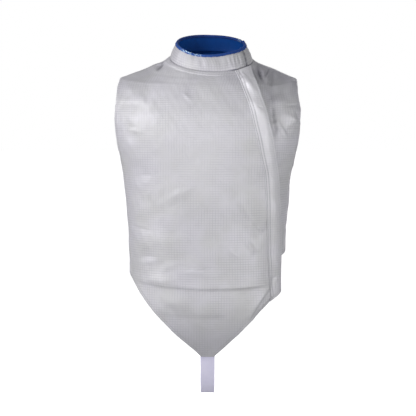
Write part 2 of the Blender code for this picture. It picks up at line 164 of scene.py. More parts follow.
# The filled body that the cloth lies on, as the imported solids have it

body = {
    "neckBlend": 0.110,
    "seamGap": 0.0003,
    # height, width to each side, centre, depth to the front, depth to the back, squareness
    "sections": (
        (-0.640, 0.1580, -0.0010, 0.0740, 0.1080, 2.5),
        (-0.612, 0.1590, -0.0010, 0.0840, 0.1080, 2.5),
        (-0.570, 0.1600, -0.0010, 0.0960, 0.1080, 2.5),
        (-0.520, 0.1610, -0.0010, 0.1050, 0.1080, 2.5),
        (-0.480, 0.1620, -0.0010, 0.1090, 0.1080, 2.5),
        (-0.440, 0.1630, -0.0010, 0.1110, 0.1080, 2.5),
        (-0.395, 0.1640, -0.0015, 0.1110, 0.1060, 2.5),
        (-0.342, 0.1660, -0.0020, 0.1110, 0.1030, 2.5),
        (-0.290, 0.1705, -0.0015, 0.1130, 0.1040, 2.5),
        (-0.240, 0.1750, -0.0020, 0.1180, 0.1100, 2.5),
        (-0.200, 0.1825, -0.0010, 0.1220, 0.1150, 2.6),
        (-0.160, 0.1875, -0.0010, 0.1240, 0.1180, 2.7),
        (-0.120, 0.1905, -0.0010, 0.1180, 0.1150, 2.7),
        (-0.090, 0.1920, -0.0010, 0.1080, 0.1080, 2.6),
        (-0.060, 0.1910, -0.0010, 0.0960, 0.0980, 2.4),
        (-0.040, 0.1840, 0.0010, 0.0870, 0.0890, 2.2),
        (-0.032, 0.1650, 0.0035, 0.0830, 0.0850, 2.1),
        (-0.026, 0.1485, 0.0050, 0.0800, 0.0810, 2.1),
        (-0.019, 0.1305, 0.0055, 0.0760, 0.0760, 2.0),
        (-0.013, 0.1145, 0.0045, 0.0725, 0.0720, 2.0),
        (-0.006, 0.0965, 0.0060, 0.0690, 0.0670, 2.0),
        (0.000, 0.0865, 0.0070, 0.0660, 0.0640, 2.0),
    ),
}

armhole = {
    "top": -0.040,
    "low": -0.238,
    "front": 0.066,  # deepest cut into the front
    "back": 0.058,
    "lowness": 0.92,
    "roundness": 0.5,
    "sideRoundness": 0.75,
}

neckline = {
    "centre": (0.0070, 0.000), "width": 0.0865, "front": 0.0660, "back": 0.0640,
    "middle": -0.0010, "tilt": 0.342, "roll": -0.030, "rise": 0.003,
}


def smoothCurve(places, values):  # a smooth curve through the values, with no overshoot
    places, values = np.array(places), np.array(values)
    slopes = np.diff(values) / np.diff(places)
    tangents = np.concatenate(([slopes[0]], np.zeros(len(slopes) - 1), [slopes[-1]]))
    for i in range(1, len(slopes)):
        before, after = slopes[i - 1], slopes[i]
        if before * after > 0:
            tangents[i] = 2 * before * after / (before + after)

    def valueAt(place):
        place = np.clip(place, places[0], places[-1])
        i = np.clip(np.searchsorted(places, place, side="right") - 1, 0, len(slopes) - 1)
        span = places[i + 1] - places[i]
        part = (place - places[i]) / span
        start = (1 + 2 * part) * (1 - part) ** 2 * values[i] + part * (1 - part) ** 2 * span * tangents[i]
        end = part ** 2 * (3 - 2 * part) * values[i + 1] + part ** 2 * (part - 1) * span * tangents[i + 1]
        return start + end

    return valueAt


def curvesOf(table, names):  # one smooth curve over the first column for each other column
    columns = list(zip(*table))
    return {name: smoothCurve(columns[0], column) for name, column in zip(names, columns[1:])}


section = curvesOf(body["sections"], ("width", "centre", "front", "back", "square"))


def smoothStep(low, high, value):
    part = np.clip((value - low) / (high - low), 0, 1)
    return part * part * (3 - 2 * part)


def sectionDepth(height, isFront):
    return np.where(isFront, section["front"](height), section["back"](height))


def armholeGap(height, isFront, roundness):  # how far the armhole's edge lies from the side seam
    most = np.where(isFront, armhole["front"], armhole["back"])
    part = np.clip((armhole["top"] - height) / (armhole["top"] - armhole["low"]), 0, 1)
    gap = most * np.maximum(np.sin(math.pi * part ** armhole["lowness"]), 0) ** roundness
    return np.maximum(gap, body["seamGap"] / 2)


def sideTurn(height, isFront):  # the turn, from the side, of a panel's side edge
    part = armholeGap(height, isFront, armhole["roundness"]) / sectionDepth(height, isFront)
    return np.arcsin(part ** (section["square"](height) / 2))


def halfWidth(height, isFront):
    gap = armholeGap(height, isFront, armhole["sideRoundness"])
    square = section["square"](height)
    filled = (1 - (gap / sectionDepth(height, isFront)) ** square) ** (1 / square)
    return section["width"](height) / filled


def ringPoint(ring, turn):  # turn is 0 at the wearer's left and a quarter at the front
    across, along = np.cos(turn), np.sin(turn)
    x = ring["width"] * across
    y = -along * np.where(along > 0, ring["front"], ring["back"])
    z = ring["middle"] + ring["tilt"] * y + ring["roll"] * x + ring["rise"] * across ** 2
    return np.stack((ring["centre"][0] + x, ring["centre"][1] + y, z), axis=-1)


def bodyPoint(turn, height):
    across, along = np.cos(turn), np.sin(turn)
    isFront = along > 0
    power = 2 / section["square"](height)
    reach = np.copysign(np.abs(across) ** power, across)
    x = section["centre"](height) + halfWidth(height, isFront) * reach
    y = -np.copysign(np.abs(along) ** power, along) * sectionDepth(height, isFront)
    bend = np.maximum(1 + height / body["neckBlend"], 0) ** 1.3
    return np.stack((x, y, height + bend * ringPoint(neckline, turn)[..., 2]), axis=-1)


def unit(vectors):
    return vectors / np.maximum(np.linalg.norm(vectors, axis=-1, keepdims=True), 1e-12)


def bodyNormal(turn, height):
    stepTurn, stepHeight = 0.004, 0.0005
    up = bodyPoint(turn, height + stepHeight) - bodyPoint(turn, height - stepHeight)
    around = bodyPoint(turn + stepTurn, height) - bodyPoint(turn - stepTurn, height)
    return unit(np.cross(up, around))


# The closing at the wearer's left front: the placket's sewn line and its free edge

closing = {
    # height, x of the sewn line, x of the free edge
    "line": (
        (-0.500, 0.1290, 0.1475),
        (-0.420, 0.1235, 0.1470),
        (-0.380, 0.1200, 0.1462),
        (-0.300, 0.1168, 0.1443),
        (-0.234, 0.1132, 0.1408),
        (-0.203, 0.1072, 0.1363),
        (-0.161, 0.0988, 0.1299),
        (-0.136, 0.0932, 0.1243),
        (-0.111, 0.0877, 0.1185),
        (-0.080, 0.0800, 0.1096),
        (-0.055, 0.0723, 0.1029),
        (-0.025, 0.0640, 0.0935),
        (0.000, 0.0540, 0.0850),
    ),
    "frontEdge": 0.43,
    "leftEdge": 0.57,
}
closingLine = curvesOf(closing["line"], ("sewn", "free"))


def turnOfX(x, height):
    across = (x - section["centre"](height)) / halfWidth(height, True)
    return np.arccos(np.minimum(np.abs(across), 1) ** (section["square"](height) / 2))


def closingTurn(part, height):  # part is 0 at the sewn line and 1 at the free edge
    x = closingLine["sewn"](height) * (1 - part) + closingLine["free"](height) * part
    return turnOfX(x, height)


# Lower edges

hems = {
    "right": -0.4457,
    "left": -0.3960,
    "leftFront": -0.4080,
    "tip": -0.6117,
    "tipRight": -0.0145,
    "tipLeft": 0.0125,
    # x and height along the front's lower edge, from the wearer's right hip round the V to the closing
    "front": (
        (-0.1650, -0.4420), (-0.1619, -0.4457), (-0.1409, -0.4765), (-0.1238, -0.5014),
        (-0.0966, -0.5322), (-0.0636, -0.5642), (-0.0267, -0.5982), (-0.0145, -0.6117),
        (0.0125, -0.6117), (0.1256, -0.4985), (0.1480, -0.4760),
    ),
}


def frontHem(x):
    places, heights = zip(*hems["front"])
    return np.interp(x, places, heights)


def backHem(x):
    return hems["left"] + (hems["right"] - hems["left"]) * smoothStep(0.150, -0.150, x)


def leftFrontHem(x):
    return hems["left"] + (hems["leftFront"] - hems["left"]) * smoothStep(0.162, 0.138, x)


# Creases, in front view or back view. Lean is in degrees from level. Even is 2 for one that fades all
# along and more for one of even strength. Above and below are its widths on its upper and lower side.
# Rise is a ridge where it is positive and a trough where it is negative. Bow is how far its middle bends.

creases = {
    # x, z, lean, length, even, above, below, rise, bow
    "front": (
        (-0.011, -0.4600, -1.4, 0.300, 6, 0.0030, 0.0120, -0.0007, -0.0100),  # under the pressed fold
        (-0.100, -0.4490, -2, 0.120, 2, 0.0100, 0.0060, 0.0011, 0.0),
        (-0.002, -0.6500, 0, 0.400, 8, 0.0700, 0.0500, -0.0070, 0.0),  # the tip of the V leans in
        (0.118, -0.2200, 96, 0.420, 4, 0.0450, 0.0160, 0.0042, 0.0),  # flat stretch by the placket
        (-0.032, -0.5250, -1, 0.160, 4, 0.0060, 0.0150, -0.0016, -0.0020),
        (0.017, -0.5265, 0, 0.045, 2, 0.0024, 0.0060, -0.0003, 0.0),
        (-0.075, -0.4920, -22, 0.075, 2, 0.0120, 0.0120, 0.0016, 0.0),
        (0.105, -0.4970, 58, 0.095, 4, 0.0120, 0.0030, 0.0030, 0.0020),  # down to the V at the closing
        (0.117, -0.5050, 47, 0.075, 4, 0.0030, 0.0070, -0.0024, 0.0),
        (0.131, -0.4550, 88, 0.034, 2, 0.0028, 0.0028, -0.0016, 0.0),
        (-0.020, -0.4310, 2, 0.095, 2, 0.0050, 0.0120, 0.0018, 0.0010),
        (-0.008, -0.4230, -1, 0.044, 2, 0.0024, 0.0030, -0.0012, 0.0),
        (-0.058, -0.2740, 26, 0.095, 2, 0.0080, 0.0110, 0.0021, 0.0030),
        (0.089, -0.3170, -53, 0.120, 2, 0.0100, 0.0055, 0.0026, -0.0030),
        (0.070, -0.3450, -50, 0.110, 2, 0.0130, 0.0150, -0.0022, 0.0),
        (0.0885, -0.3410, -72, 0.054, 2, 0.0050, 0.0045, 0.0021, 0.0),
        (0.0855, -0.3785, -54, 0.040, 2, 0.0040, 0.0045, 0.0021, 0.0010),
        (0.1045, -0.3430, -42, 0.022, 2, 0.0024, 0.0024, 0.0013, 0.0),
        (0.051, -0.3920, -41, 0.036, 2, 0.0040, 0.0040, 0.0015, 0.0),
        (-0.090, -0.3650, -25, 0.060, 2, 0.0140, 0.0140, 0.0018, 0.0),
        (-0.139, -0.3440, -10, 0.056, 2, 0.0030, 0.0060, -0.0007, 0.0010),
        (-0.118, -0.4000, 6, 0.036, 2, 0.0025, 0.0040, -0.0005, 0.0),
        (-0.121, -0.4100, 10, 0.066, 2, 0.0060, 0.0060, 0.0009, -0.0010),
        (-0.111, -0.4300, 29, 0.072, 2, 0.0090, 0.0100, -0.0008, 0.0),
        (-0.080, -0.4220, 25, 0.075, 2, 0.0090, 0.0070, 0.0011, 0.0020),
        (-0.142, -0.1400, -78, 0.080, 2, 0.0100, 0.0140, 0.0008, 0.0),
        (-0.158, -0.1540, 6, 0.060, 2, 0.0100, 0.0140, -0.0008, 0.0),
        (-0.147, -0.1430, -11, 0.045, 2, 0.0030, 0.0040, 0.0007, 0.0),
        (-0.153, -0.1370, 16, 0.032, 2, 0.0030, 0.0030, -0.0004, 0.0),
        (-0.043, -0.0740, -45, 0.032, 2, 0.0040, 0.0040, 0.0010, 0.0),
        (-0.129, -0.0280, 30, 0.048, 2, 0.0080, 0.0080, -0.0018, 0.0),
        (-0.097, -0.0080, 26, 0.036, 2, 0.0100, 0.0100, -0.0030, 0.0),
        (0.107, -0.0290, -73, 0.046, 2, 0.0035, 0.0050, -0.0024, 0.0),
        (0.113, -0.0320, -80, 0.042, 2, 0.0040, 0.0040, 0.0014, 0.0),
        (0.119, -0.0300, 66, 0.036, 2, 0.0030, 0.0030, -0.0018, 0.0),
        (0.158, -0.0470, 4, 0.075, 3, 0.0040, 0.0120, 0.0014, 0.0),
        (0.172, -0.0920, 3, 0.038, 2, 0.0020, 0.0040, -0.0016, 0.0),
        (0.180, -0.1040, 18, 0.032, 2, 0.0060, 0.0050, 0.0020, 0.0),
        (0.182, -0.1150, -57, 0.036, 2, 0.0032, 0.0030, -0.0024, 0.0),
        (0.176, -0.1240, -40, 0.036, 2, 0.0050, 0.0050, 0.0018, 0.0),
        (0.175, -0.1370, 7, 0.036, 2, 0.0030, 0.0040, -0.0014, 0.0),
        (0.153, -0.1440, -56, 0.034, 2, 0.0030, 0.0040, 0.0018, 0.0),
        (0.147, -0.1410, -62, 0.030, 2, 0.0030, 0.0030, -0.0014, 0.0),
        (0.131, -0.1110, -79, 0.100, 4, 0.0032, 0.0070, -0.0032, 0.0),  # hollow along the placket's edge
        (0.142, -0.1180, -80, 0.072, 3, 0.0060, 0.0040, 0.0018, 0.0),
        (0.154, -0.1920, -3, 0.034, 2, 0.0020, 0.0030, -0.0012, 0.0),
        (0.155, -0.2460, -9, 0.040, 2, 0.0020, 0.0040, -0.0016, 0.0),
        (0.155, -0.2710, -11, 0.034, 2, 0.0020, 0.0040, -0.0014, 0.0),
        (0.155, -0.3000, 12, 0.040, 2, 0.0110, 0.0110, 0.0008, 0.0),
        (0.154, -0.3300, -64, 0.056, 3, 0.0040, 0.0060, -0.0020, 0.0),
        (0.163, -0.3260, -64, 0.050, 2, 0.0060, 0.0050, 0.0005, 0.0),
        (0.156, -0.3920, 73, 0.046, 2, 0.0060, 0.0040, 0.0016, 0.0),
    ),
    "back": (
        (-0.060, -0.2100, 22, 0.150, 2, 0.0160, 0.0180, 0.0024, 0.0040),
        (0.075, -0.2250, -28, 0.130, 2, 0.0180, 0.0160, 0.0024, -0.0040),
        (0.010, -0.3300, 4, 0.180, 4, 0.0160, 0.0090, 0.0020, -0.0030),
        (-0.020, -0.3600, -7, 0.160, 3, 0.0090, 0.0160, -0.0018, 0.0),
        (0.120, -0.1400, 76, 0.100, 2, 0.0100, 0.0160, 0.0020, 0.0),
        (-0.128, -0.1500, -72, 0.082, 2, 0.0110, 0.0070, 0.0018, 0.0),
        (0.004, -0.0950, 3, 0.140, 3, 0.0070, 0.0140, -0.0012, 0.0040),
        (-0.090, -0.3950, 14, 0.080, 2, 0.0060, 0.0100, 0.0016, 0.0),
        (0.095, -0.3620, -16, 0.070, 2, 0.0060, 0.0080, -0.0014, 0.0),
        (0.034, -0.2700, -36, 0.072, 2, 0.0080, 0.0060, 0.0014, 0.0),
        (-0.030, -0.1500, 48, 0.062, 2, 0.0070, 0.0080, 0.0012, 0.0),
        (0.146, -0.3000, -60, 0.052, 2, 0.0040, 0.0060, -0.0016, 0.0),
        (-0.149, -0.3350, 58, 0.056, 2, 0.0050, 0.0040, 0.0016, 0.0),
        (-0.140, -0.2700, 20, 0.048, 2, 0.0040, 0.0060, -0.0014, 0.0),
        (0.108, -0.0330, -58, 0.044, 2, 0.0050, 0.0060, -0.0020, 0.0),
        (-0.116, -0.0360, 52, 0.044, 2, 0.0050, 0.0050, -0.0018, 0.0),
        (-0.097, -0.0080, 26, 0.036, 2, 0.0100, 0.0100, -0.0030, 0.0),
        (0.056, -0.4010, 9, 0.062, 2, 0.0050, 0.0070, 0.0014, 0.0),
    ),
    # The left front alone, beyond the placket
    "left": (
        (0.128, -0.0500, 84, 0.100, 2, 0.0140, 0.0240, -0.0030, 0.0),
        (0.108, -0.0280, -66, 0.050, 2, 0.0040, 0.0070, -0.0034, 0.0),
        (0.121, -0.0330, -84, 0.044, 2, 0.0050, 0.0045, 0.0022, 0.0),
        (0.133, -0.0360, 78, 0.040, 2, 0.0040, 0.0050, -0.0020, 0.0),
        (0.150, -0.0800, 8, 0.070, 2, 0.0100, 0.0140, 0.0016, 0.0),
        (0.166, -0.1180, -34, 0.050, 2, 0.0080, 0.0090, 0.0022, 0.0),
        (0.174, -0.1180, 84, 0.075, 2, 0.0130, 0.0090, 0.0036, 0.0),
        (0.1080, -0.0220, -62, 0.030, 2, 0.0024, 0.0040, -0.0022, 0.0),
        (0.1230, -0.0260, 60, 0.026, 2, 0.0030, 0.0030, -0.0020, 0.0),
        (0.156, -0.0560, 88, 0.060, 3, 0.0300, 0.0120, -0.0045, 0.0),
    ),
    # Ridges and troughs with a sharp bend, in the same columns
    "leftSharp": (
        (0.1345, -0.1000, 92, 0.130, 3, 0.0100, 0.0180, -0.0060, 0.0),  # dark hollow along the placket
        (0.1370, -0.1270, 40, 0.022, 2, 0.0026, 0.0040, 0.0018, 0.0),
        (0.1340, -0.1150, 52, 0.018, 2, 0.0022, 0.0036, 0.0014, 0.0),
    ),
    "frontSharp": (
        (-0.0985, -0.0110, 56, 0.034, 3, 0.0060, 0.0036, -0.0020, 0.0),  # pucker on the right shoulder
        (-0.011, -0.4546, -1.4, 0.300, 6, 0.0110, 0.0012, 0.0019, -0.0100),  # pressed fold over the hips
        (-0.168, -0.0890, -2, 0.080, 4, 0.0080, 0.0260, -0.0013, 0.0),  # edge of the dent by the right arm
        (-0.143, -0.1080, -56, 0.060, 3, 0.0100, 0.0260, 0.0007, 0.0040),
    ),
    "strength": 1.2,
    "seamFade": 0.009,
    "neckFade": (0.002, 0.014),
}

# Painted shade: thin dark lines where the front folds on itself and the crease lies in shadow: x, z, lean,
# length, width, darkness and bow
foldLines = (
    (-0.011, -0.4556, -1.4, 0.280, 0.0010, 0.55, -0.0100), (-0.086, -0.4560, -6, 0.090, 0.0013, 0.60, 0.0),
    (0.0655, -0.0218, 18, 0.018, 0.0011, 0.90, 0.0), (0.0705, -0.0170, 58, 0.016, 0.0011, 0.80, 0.0),
    (0.0620, -0.0240, -12, 0.014, 0.0010, 0.70, 0.0), (0.0830, -0.0145, -55, 0.014, 0.0012, 0.70, 0.0),
    (-0.008, -0.4225, -1, 0.030, 0.0010, 0.60, 0.0), (0.014, -0.5210, 0, 0.050, 0.0010, 0.30, 0.0),
    (0.117, -0.5020, 47, 0.080, 0.0012, 0.70, 0.0), (0.104, -0.5060, 57, 0.090, 0.0010, 0.60, 0.0020),
    (0.1345, -0.1130, 90, 0.044, 0.0011, 0.60, 0.0), (-0.0985, -0.0098, 56, 0.030, 0.0024, 1.80, 0.0),
    (0.1075, -0.0225, -66, 0.030, 0.0022, 0.60, 0.0), (0.1230, -0.0240, 58, 0.024, 0.0020, 0.50, 0.0),
)
# Painted shade: the tip of the V, which leans in and faces down, is painted darker
paintedTipShade = {"from": -0.480, "to": -0.580, "darkness": 0.95}  # the tip of the V is a little darker

# Painted shade over broad areas of the front that the light reaches less, and painted light where the last
# number is below 0: x, z, lean, length, above, below and darkness
paintedLightAndShade = (
    (-0.160, -0.0780, -2, 0.080, 0.030, 0.005, 0.60), (0.136, -0.0380, -22, 0.110, 0.030, 0.025, 1.10),
    (-0.160, -0.1180, 0, 0.050, 0.022, 0.022, 0.22), (-0.060, -0.0700, 8, 0.080, 0.010, 0.008, 0.16),
    (-0.124, -0.3900, 30, 0.070, 0.012, 0.014, 0.30), (-0.130, -0.2300, 84, 0.120, 0.012, 0.016, 0.06),
    (0.156, -0.3620, 78, 0.050, 0.004, 0.006, 0.40), (-0.060, -0.5050, -12, 0.060, 0.010, 0.010, 0.20),
    (-0.010, -0.1650, 90, 0.280, 0.115, 0.070, -0.42), (-0.078, -0.0330, -24, 0.080, 0.020, 0.020, -0.45),
)

# Slight unevenness all over: wave length, height and count of the waves that are added
crumples = ((0.050, 0.00040, 9), (0.018, 0.00013, 11))

# The ridge below the collar, lower at the sides and lower still at the wearer's left
neckRidge = {
    "width": 0.0085, "height": 0.0014, "soft": 0.0022, "stitch": 0.0076, "groove": 0.0004,
    "grooveWidth": 0.0009, "atSides": 0.15, "leftLoss": 0.6,
}


def nearestOn(points, line):  # distance from each point to a line of points
    flat = points.reshape(-1, 3)
    best = np.full(len(flat), np.inf)
    for start, end in zip(line[:-1], line[1:]):
        along = end - start
        part = np.clip((flat - start) @ along / max(along @ along, 1e-12), 0, 1)
        gap = flat - start - part[:, None] * along
        best = np.minimum(best, np.einsum("ij,ij->i", gap, gap))
    return np.sqrt(best).reshape(points.shape[:-1])


neckLine = ringPoint(neckline, np.linspace(0, 2 * math.pi, 241))


def neckDistance(points):
    gap = np.full(points.shape[:-1], 1.0)
    near = points[..., 2] > -0.075
    gap[near] = nearestOn(points[near], neckLine)
    return gap


def foldPlace(right, up, lean, length, bow=0.0):
    # Along is 0 at a fold's middle and 1 at its ends, and across is metres above its line
    lean = math.radians(lean)
    along = np.abs(right * math.cos(lean) + up * math.sin(lean)) * 2 / length
    across = up * math.cos(lean) - right * math.sin(lean)
    return along, across - bow * np.clip(1 - along ** 2, 0, 1)


def creaseLift(points, isFront):
    lift = np.zeros(points.shape[:-1])
    beyond = smoothStep(-0.001, 0.006, points[..., 0] - closingLine["free"](points[..., 2])) * isFront
    masks = {"front": isFront, "back": ~isFront, "left": beyond, "leftSharp": beyond, "frontSharp": isFront}
    for face, mine in masks.items():
        for x, z, lean, length, even, above, below, rise, bow in creases[face]:
            along, across = foldPlace(points[..., 0] - x, points[..., 2] - z, lean, length, bow)
            away = across / np.where(across > 0, above, below)
            if face.endswith("Sharp"):
                profile = np.exp(0.15 - np.sqrt(away ** 2 + 0.0225))
            else:
                profile = np.exp(-away ** 2)
            lift += mine * rise * np.clip(1 - along ** even, 0, 1) ** 2 * profile
    return lift * creases["strength"]


# Painted shade on the front's colour from the fold lines, the patches and the V's tip, and painted light
# where the sum is below 0
def foldShade(points):  # how much darker the front looks, or paler where below 0
    shade = np.zeros(points.shape[:-1])
    isFront = points[..., 1] < 0
    for x, z, lean, length, width, darkness, bow in foldLines:
        along, across = foldPlace(points[..., 0] - x, points[..., 2] - z, lean, length, bow)
        here = darkness * np.clip(1 - along ** 4, 0, 1) * np.exp(-(across / width) ** 2)
        shade = np.maximum(shade, here * isFront)
    for x, z, lean, length, above, below, darkness in paintedLightAndShade:
        along, across = foldPlace(points[..., 0] - x, points[..., 2] - z, lean, length)
        profile = np.exp(-(across / np.where(across > 0, above, below)) ** 2)
        shade += darkness * np.clip(1 - along ** 4, 0, 1) * profile * isFront
    tip = paintedTipShade["darkness"] * smoothStep(paintedTipShade["from"], paintedTipShade["to"], points[..., 2])
    return shade + tip * isFront


def crumpleLift(points):
    dice = np.random.default_rng(7)
    lift = np.zeros(points.shape[:-1])
    for length, height, count in crumples:
        for _ in range(count):
            toward = unit(dice.normal(size=3) * (0.7, 0.7, 1.0))
            phase = dice.uniform(0, 2 * math.pi)
            stretch = dice.uniform(0.75, 1.5)
            wave = np.sin(points @ toward * 2 * math.pi / (length * stretch) + phase)
            lift += height * wave / math.sqrt(count / 2)
    return lift


def surfaceLift(points, isFront):  # creases, unevenness and the ridge below the collar
    neckGap = neckDistance(points)
    loose = creaseLift(points, isFront) + crumpleLift(points)
    loose *= smoothStep(0, creases["seamFade"], np.abs(points[..., 1]))
    loose *= smoothStep(*creases["neckFade"], neckGap)
    ridge = neckRidge["height"] * smoothStep(0, 0.003, neckGap)
    ridge *= smoothStep(neckRidge["width"] + neckRidge["soft"], neckRidge["width"], neckGap)
    fromSide = smoothStep(0.004, 0.032, np.abs(points[..., 1]))
    ridge *= neckRidge["atSides"] + (1 - neckRidge["atSides"]) * fromSide
    ridge *= 1 - neckRidge["leftLoss"] * smoothStep(-0.004, 0.045, points[..., 0])
    fromStitch = (neckGap - neckRidge["stitch"]) / neckRidge["grooveWidth"]
    ridge -= neckRidge["groove"] * np.exp(-fromStitch ** 2)
    return loose + ridge


def clothPoint(turn, height, out=0.0):
    points = bodyPoint(turn, height)
    lift = surfaceLift(points, np.sin(turn) > 0) + out
    return points + bodyNormal(turn, height) * lift[..., None]


# Cloth coordinates: metres across from the middle of the front or back, and metres up from the waist

waistHeight = -0.300


def clothCoordinates(turn, height, steps=28):
    isFront = np.sin(turn) > 0
    power = 2 / section["square"](height)
    reach = np.abs(np.cos(turn)) ** power
    side = np.sign(np.cos(turn))
    across, along = np.zeros(turn.shape), np.zeros(turn.shape)
    lastAcross = lastAlong = None
    for k in range(steps + 1):
        part = math.sin(math.pi / 2 * k / steps)
        lean = np.arccos(np.clip((reach * part) ** (1 / power) * side, -1, 1))
        point = bodyPoint(np.where(isFront, lean, 2 * math.pi - lean), height)
        rise = bodyPoint(turn, waistHeight + (height - waistHeight) * part)
        if k:
            across += np.linalg.norm(point - lastAcross, axis=-1)
            along += np.linalg.norm(rise - lastAlong, axis=-1)
        lastAcross, lastAlong = point, rise
    return np.stack((across * side, along * np.sign(height - waistHeight)), axis=-1)


# Meshes: thin shells of cloth, and solids swept along a path


def newMesh(name, vertices, faces, *materials, smooth=True):
    mesh = bpy.data.meshes.new(name)
    mesh.from_pydata(vertices, [], faces)
    for material in materials:
        mesh.materials.append(material)
    if smooth:
        mesh.shade_smooth()
    return mesh


def addUv(mesh, cornerUv):
    layer = mesh.uv_layers.new(name="clothMap")
    layer.data.foreach_set("uv", cornerUv.astype(np.float32).ravel())


def addMark(mesh, mark, values):  # a named value at each point, which the materials read
    attribute = mesh.attributes.new(mark, "FLOAT", "POINT")
    attribute.data.foreach_set("value", values.astype(np.float32).ravel())


def shell(name, outer, inner, uv, outside, inside, marks=None, roundness=0.35):
    # A closed wall between two grids of points, with a rounded edge all round
    rows, columns = outer.shape[:2]
    layer = rows * columns
    index = np.arange(layer).reshape(rows, columns)
    border = np.concatenate((index[0], index[1:, -1], index[-1, -2::-1], index[-2:0:-1, 0]))
    r, c = np.divmod(border, columns)
    nextR, nextC = np.clip(r, 1, rows - 2), np.clip(c, 1, columns - 2)
    away = unit(outer[r, c] - outer[nextR, nextC])
    wallHere = np.linalg.norm(outer[r, c] - inner[r, c], axis=-1, keepdims=True)
    edge = (outer[r, c] + inner[r, c]) / 2 + away * wallHere * roundness
    a, b = index[:-1, :-1].ravel(), index[:-1, 1:].ravel()
    d, e = index[1:, :-1].ravel(), index[1:, 1:].ravel()
    outerFaces = np.stack((a, b, e, d), axis=1)
    innerFaces = outerFaces[:, ::-1] + layer
    ring = 2 * layer + np.arange(len(border))
    following = np.roll(np.arange(len(border)), -1)
    nearFaces = np.stack((border, ring, ring[following], border[following]), axis=1)
    farFaces = np.stack((ring, border + layer, border[following] + layer, ring[following]), axis=1)
    faces = np.concatenate((outerFaces, nearFaces, farFaces, innerFaces))
    vertices = np.concatenate((outer.reshape(-1, 3), inner.reshape(-1, 3), edge))
    row, column = rows // 2, columns // 2
    middle = outer[row, column]
    normal = np.cross(outer[row, column + 1] - middle, outer[row + 1, column] - middle)
    if normal @ (middle - inner[row, column]) < 0:
        faces = faces[:, ::-1]
    mesh = newMesh(name, vertices.tolist(), faces.tolist(), outside, inside)
    finishes = np.zeros(len(faces), dtype=np.int32)
    finishes[-len(innerFaces):] = 1
    mesh.polygons.foreach_set("material_index", finishes)
    corners = np.empty(len(mesh.loops), dtype=np.int32)
    mesh.loops.foreach_get("vertex_index", corners)
    addUv(mesh, np.concatenate((uv.reshape(-1, 2), uv.reshape(-1, 2), uv[r, c]))[corners])
    for mark, values in (marks or {}).items():
        addMark(mesh, mark, np.concatenate((values.ravel(), values.ravel(), values[r, c])))
    return mesh


def lengthsAlong(points):  # metres from the first point of a line to each of its points
    return np.concatenate(([0], np.cumsum(np.linalg.norm(np.diff(points, axis=0), axis=1))))


def pointsAt(places, lengths, points):
    return np.stack([np.interp(places, lengths, column) for column in points.T], axis=-1)


def sweep(name, points, material):
    # A closed solid from rings of points, one ring at each place of a path, with its ends closed
    count, size = points.shape[:2]
    lengths = lengthsAlong(points.mean(axis=1))
    around = np.linalg.norm(points[0] - np.roll(points[0], -1, axis=0), axis=1)
    girth = np.concatenate(([0], np.cumsum(around)))
    index = np.arange(count * size).reshape(count, size)
    following = np.roll(index, -1, axis=1)
    sides = np.stack((index[:-1], following[:-1], following[1:], index[1:]), axis=-1).reshape(-1, 4)
    faces = sides.tolist() + [index[0][::-1].tolist(), index[-1].tolist()]
    mesh = newMesh(name, points.reshape(-1, 3).tolist(), faces, material)
    shape = (count - 1, size)
    low, high = np.broadcast_to(girth[:-1], shape), np.broadcast_to(girth[1:], shape)
    start, end = np.broadcast_to(lengths[:-1, None], shape), np.broadcast_to(lengths[1:, None], shape)
    corners = np.stack((start, low, start, high, end, high, end, low), axis=-1).reshape(-1, 2)
    caps = np.stack((np.zeros(size), girth[:-1]), axis=-1)
    addUv(mesh, np.concatenate((corners, caps, caps)))
    return mesh


def attach(name, mesh, slotName, *nodes):
    piece = linkUp(bpy.data.objects.new(name, mesh))
    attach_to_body(piece, "root")
    if nodes:
        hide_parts(*nodes)
    return piece


# Rows of points, from the hem up to the waist and from there to the neck

rowPlan = {
    "spacing": 0.0024,
    "hemRows": (0.0, 0.0008, 0.0018, 0.0030, 0.0044, 0.0058, 0.0070, 0.0084, 0.0100),  # near the hem
}


def evenHeights(low, high, spacing):  # heights spaced evenly over the cloth's longest columns
    dense = np.linspace(low, high, 900)
    lines = [bodyPoint(np.full(dense.shape, turn), dense) for turn in (1.55, 0.5, 2.6, 4.7, 3.7)]
    lines += [bodyPoint(sideTurn(dense, True), dense), bodyPoint(-sideTurn(dense, False), dense)]
    steps = np.max([np.linalg.norm(np.diff(line, axis=0), axis=1) for line in lines], axis=0)
    length = np.concatenate(([0], np.cumsum(steps)))
    count = max(int(length[-1] / spacing), 2)
    return np.interp(np.linspace(0, length[-1], count + 1), length, dense)


def joined(stops, spacing):
    parts = [evenHeights(low, high, spacing) for low, high in zip(stops[:-1], stops[1:])]
    return np.concatenate([part[:-1] for part in parts] + [[stops[-1]]])


def panelPlaces(turnAt, columns, hemAt, top=0.0, spacing=rowPlan["spacing"]):
    # Turns and heights of a panel's grid, whose lowest row follows the hem
    columns = np.array(columns)[None, :]
    low = np.full(columns.shape, hems["left"])
    for _ in range(12):
        low = hemAt(bodyPoint(turnAt(columns, low), low)[..., 0])
    span = waistHeight - low
    above = np.array(rowPlan["hemRows"])[:, None] + 0 * low
    count = int((waistHeight - low.min() - rowPlan["hemRows"][-1]) / spacing)
    rest = np.linspace(0, 1, count + 1)[1:-1, None]
    rest = rowPlan["hemRows"][-1] + (span - rowPlan["hemRows"][-1]) * rest
    upper = joined((waistHeight, armhole["low"], armhole["top"], top), spacing)[:, None] + 0 * low
    heights = np.concatenate((low + above, low + rest, upper))
    return turnAt(columns + 0 * heights, heights), heights


def between(stops, counts):  # evenly spaced values between stops
    parts = [np.linspace(low, high, count + 1)[:-1] for low, high, count in zip(stops, stops[1:], counts)]
    return np.concatenate(parts + [[stops[-1]]])


print("The surface is worked out")

# Shader helpers


def feed(tree, socket, value):  # sets a socket to a number or a colour, or links a node's output to it
    if isinstance(value, (int, float)):
        socket.default_value = value
    elif isinstance(value, tuple):
        socket.default_value = (*value, 1)
    else:
        tree.links.new(value, socket)


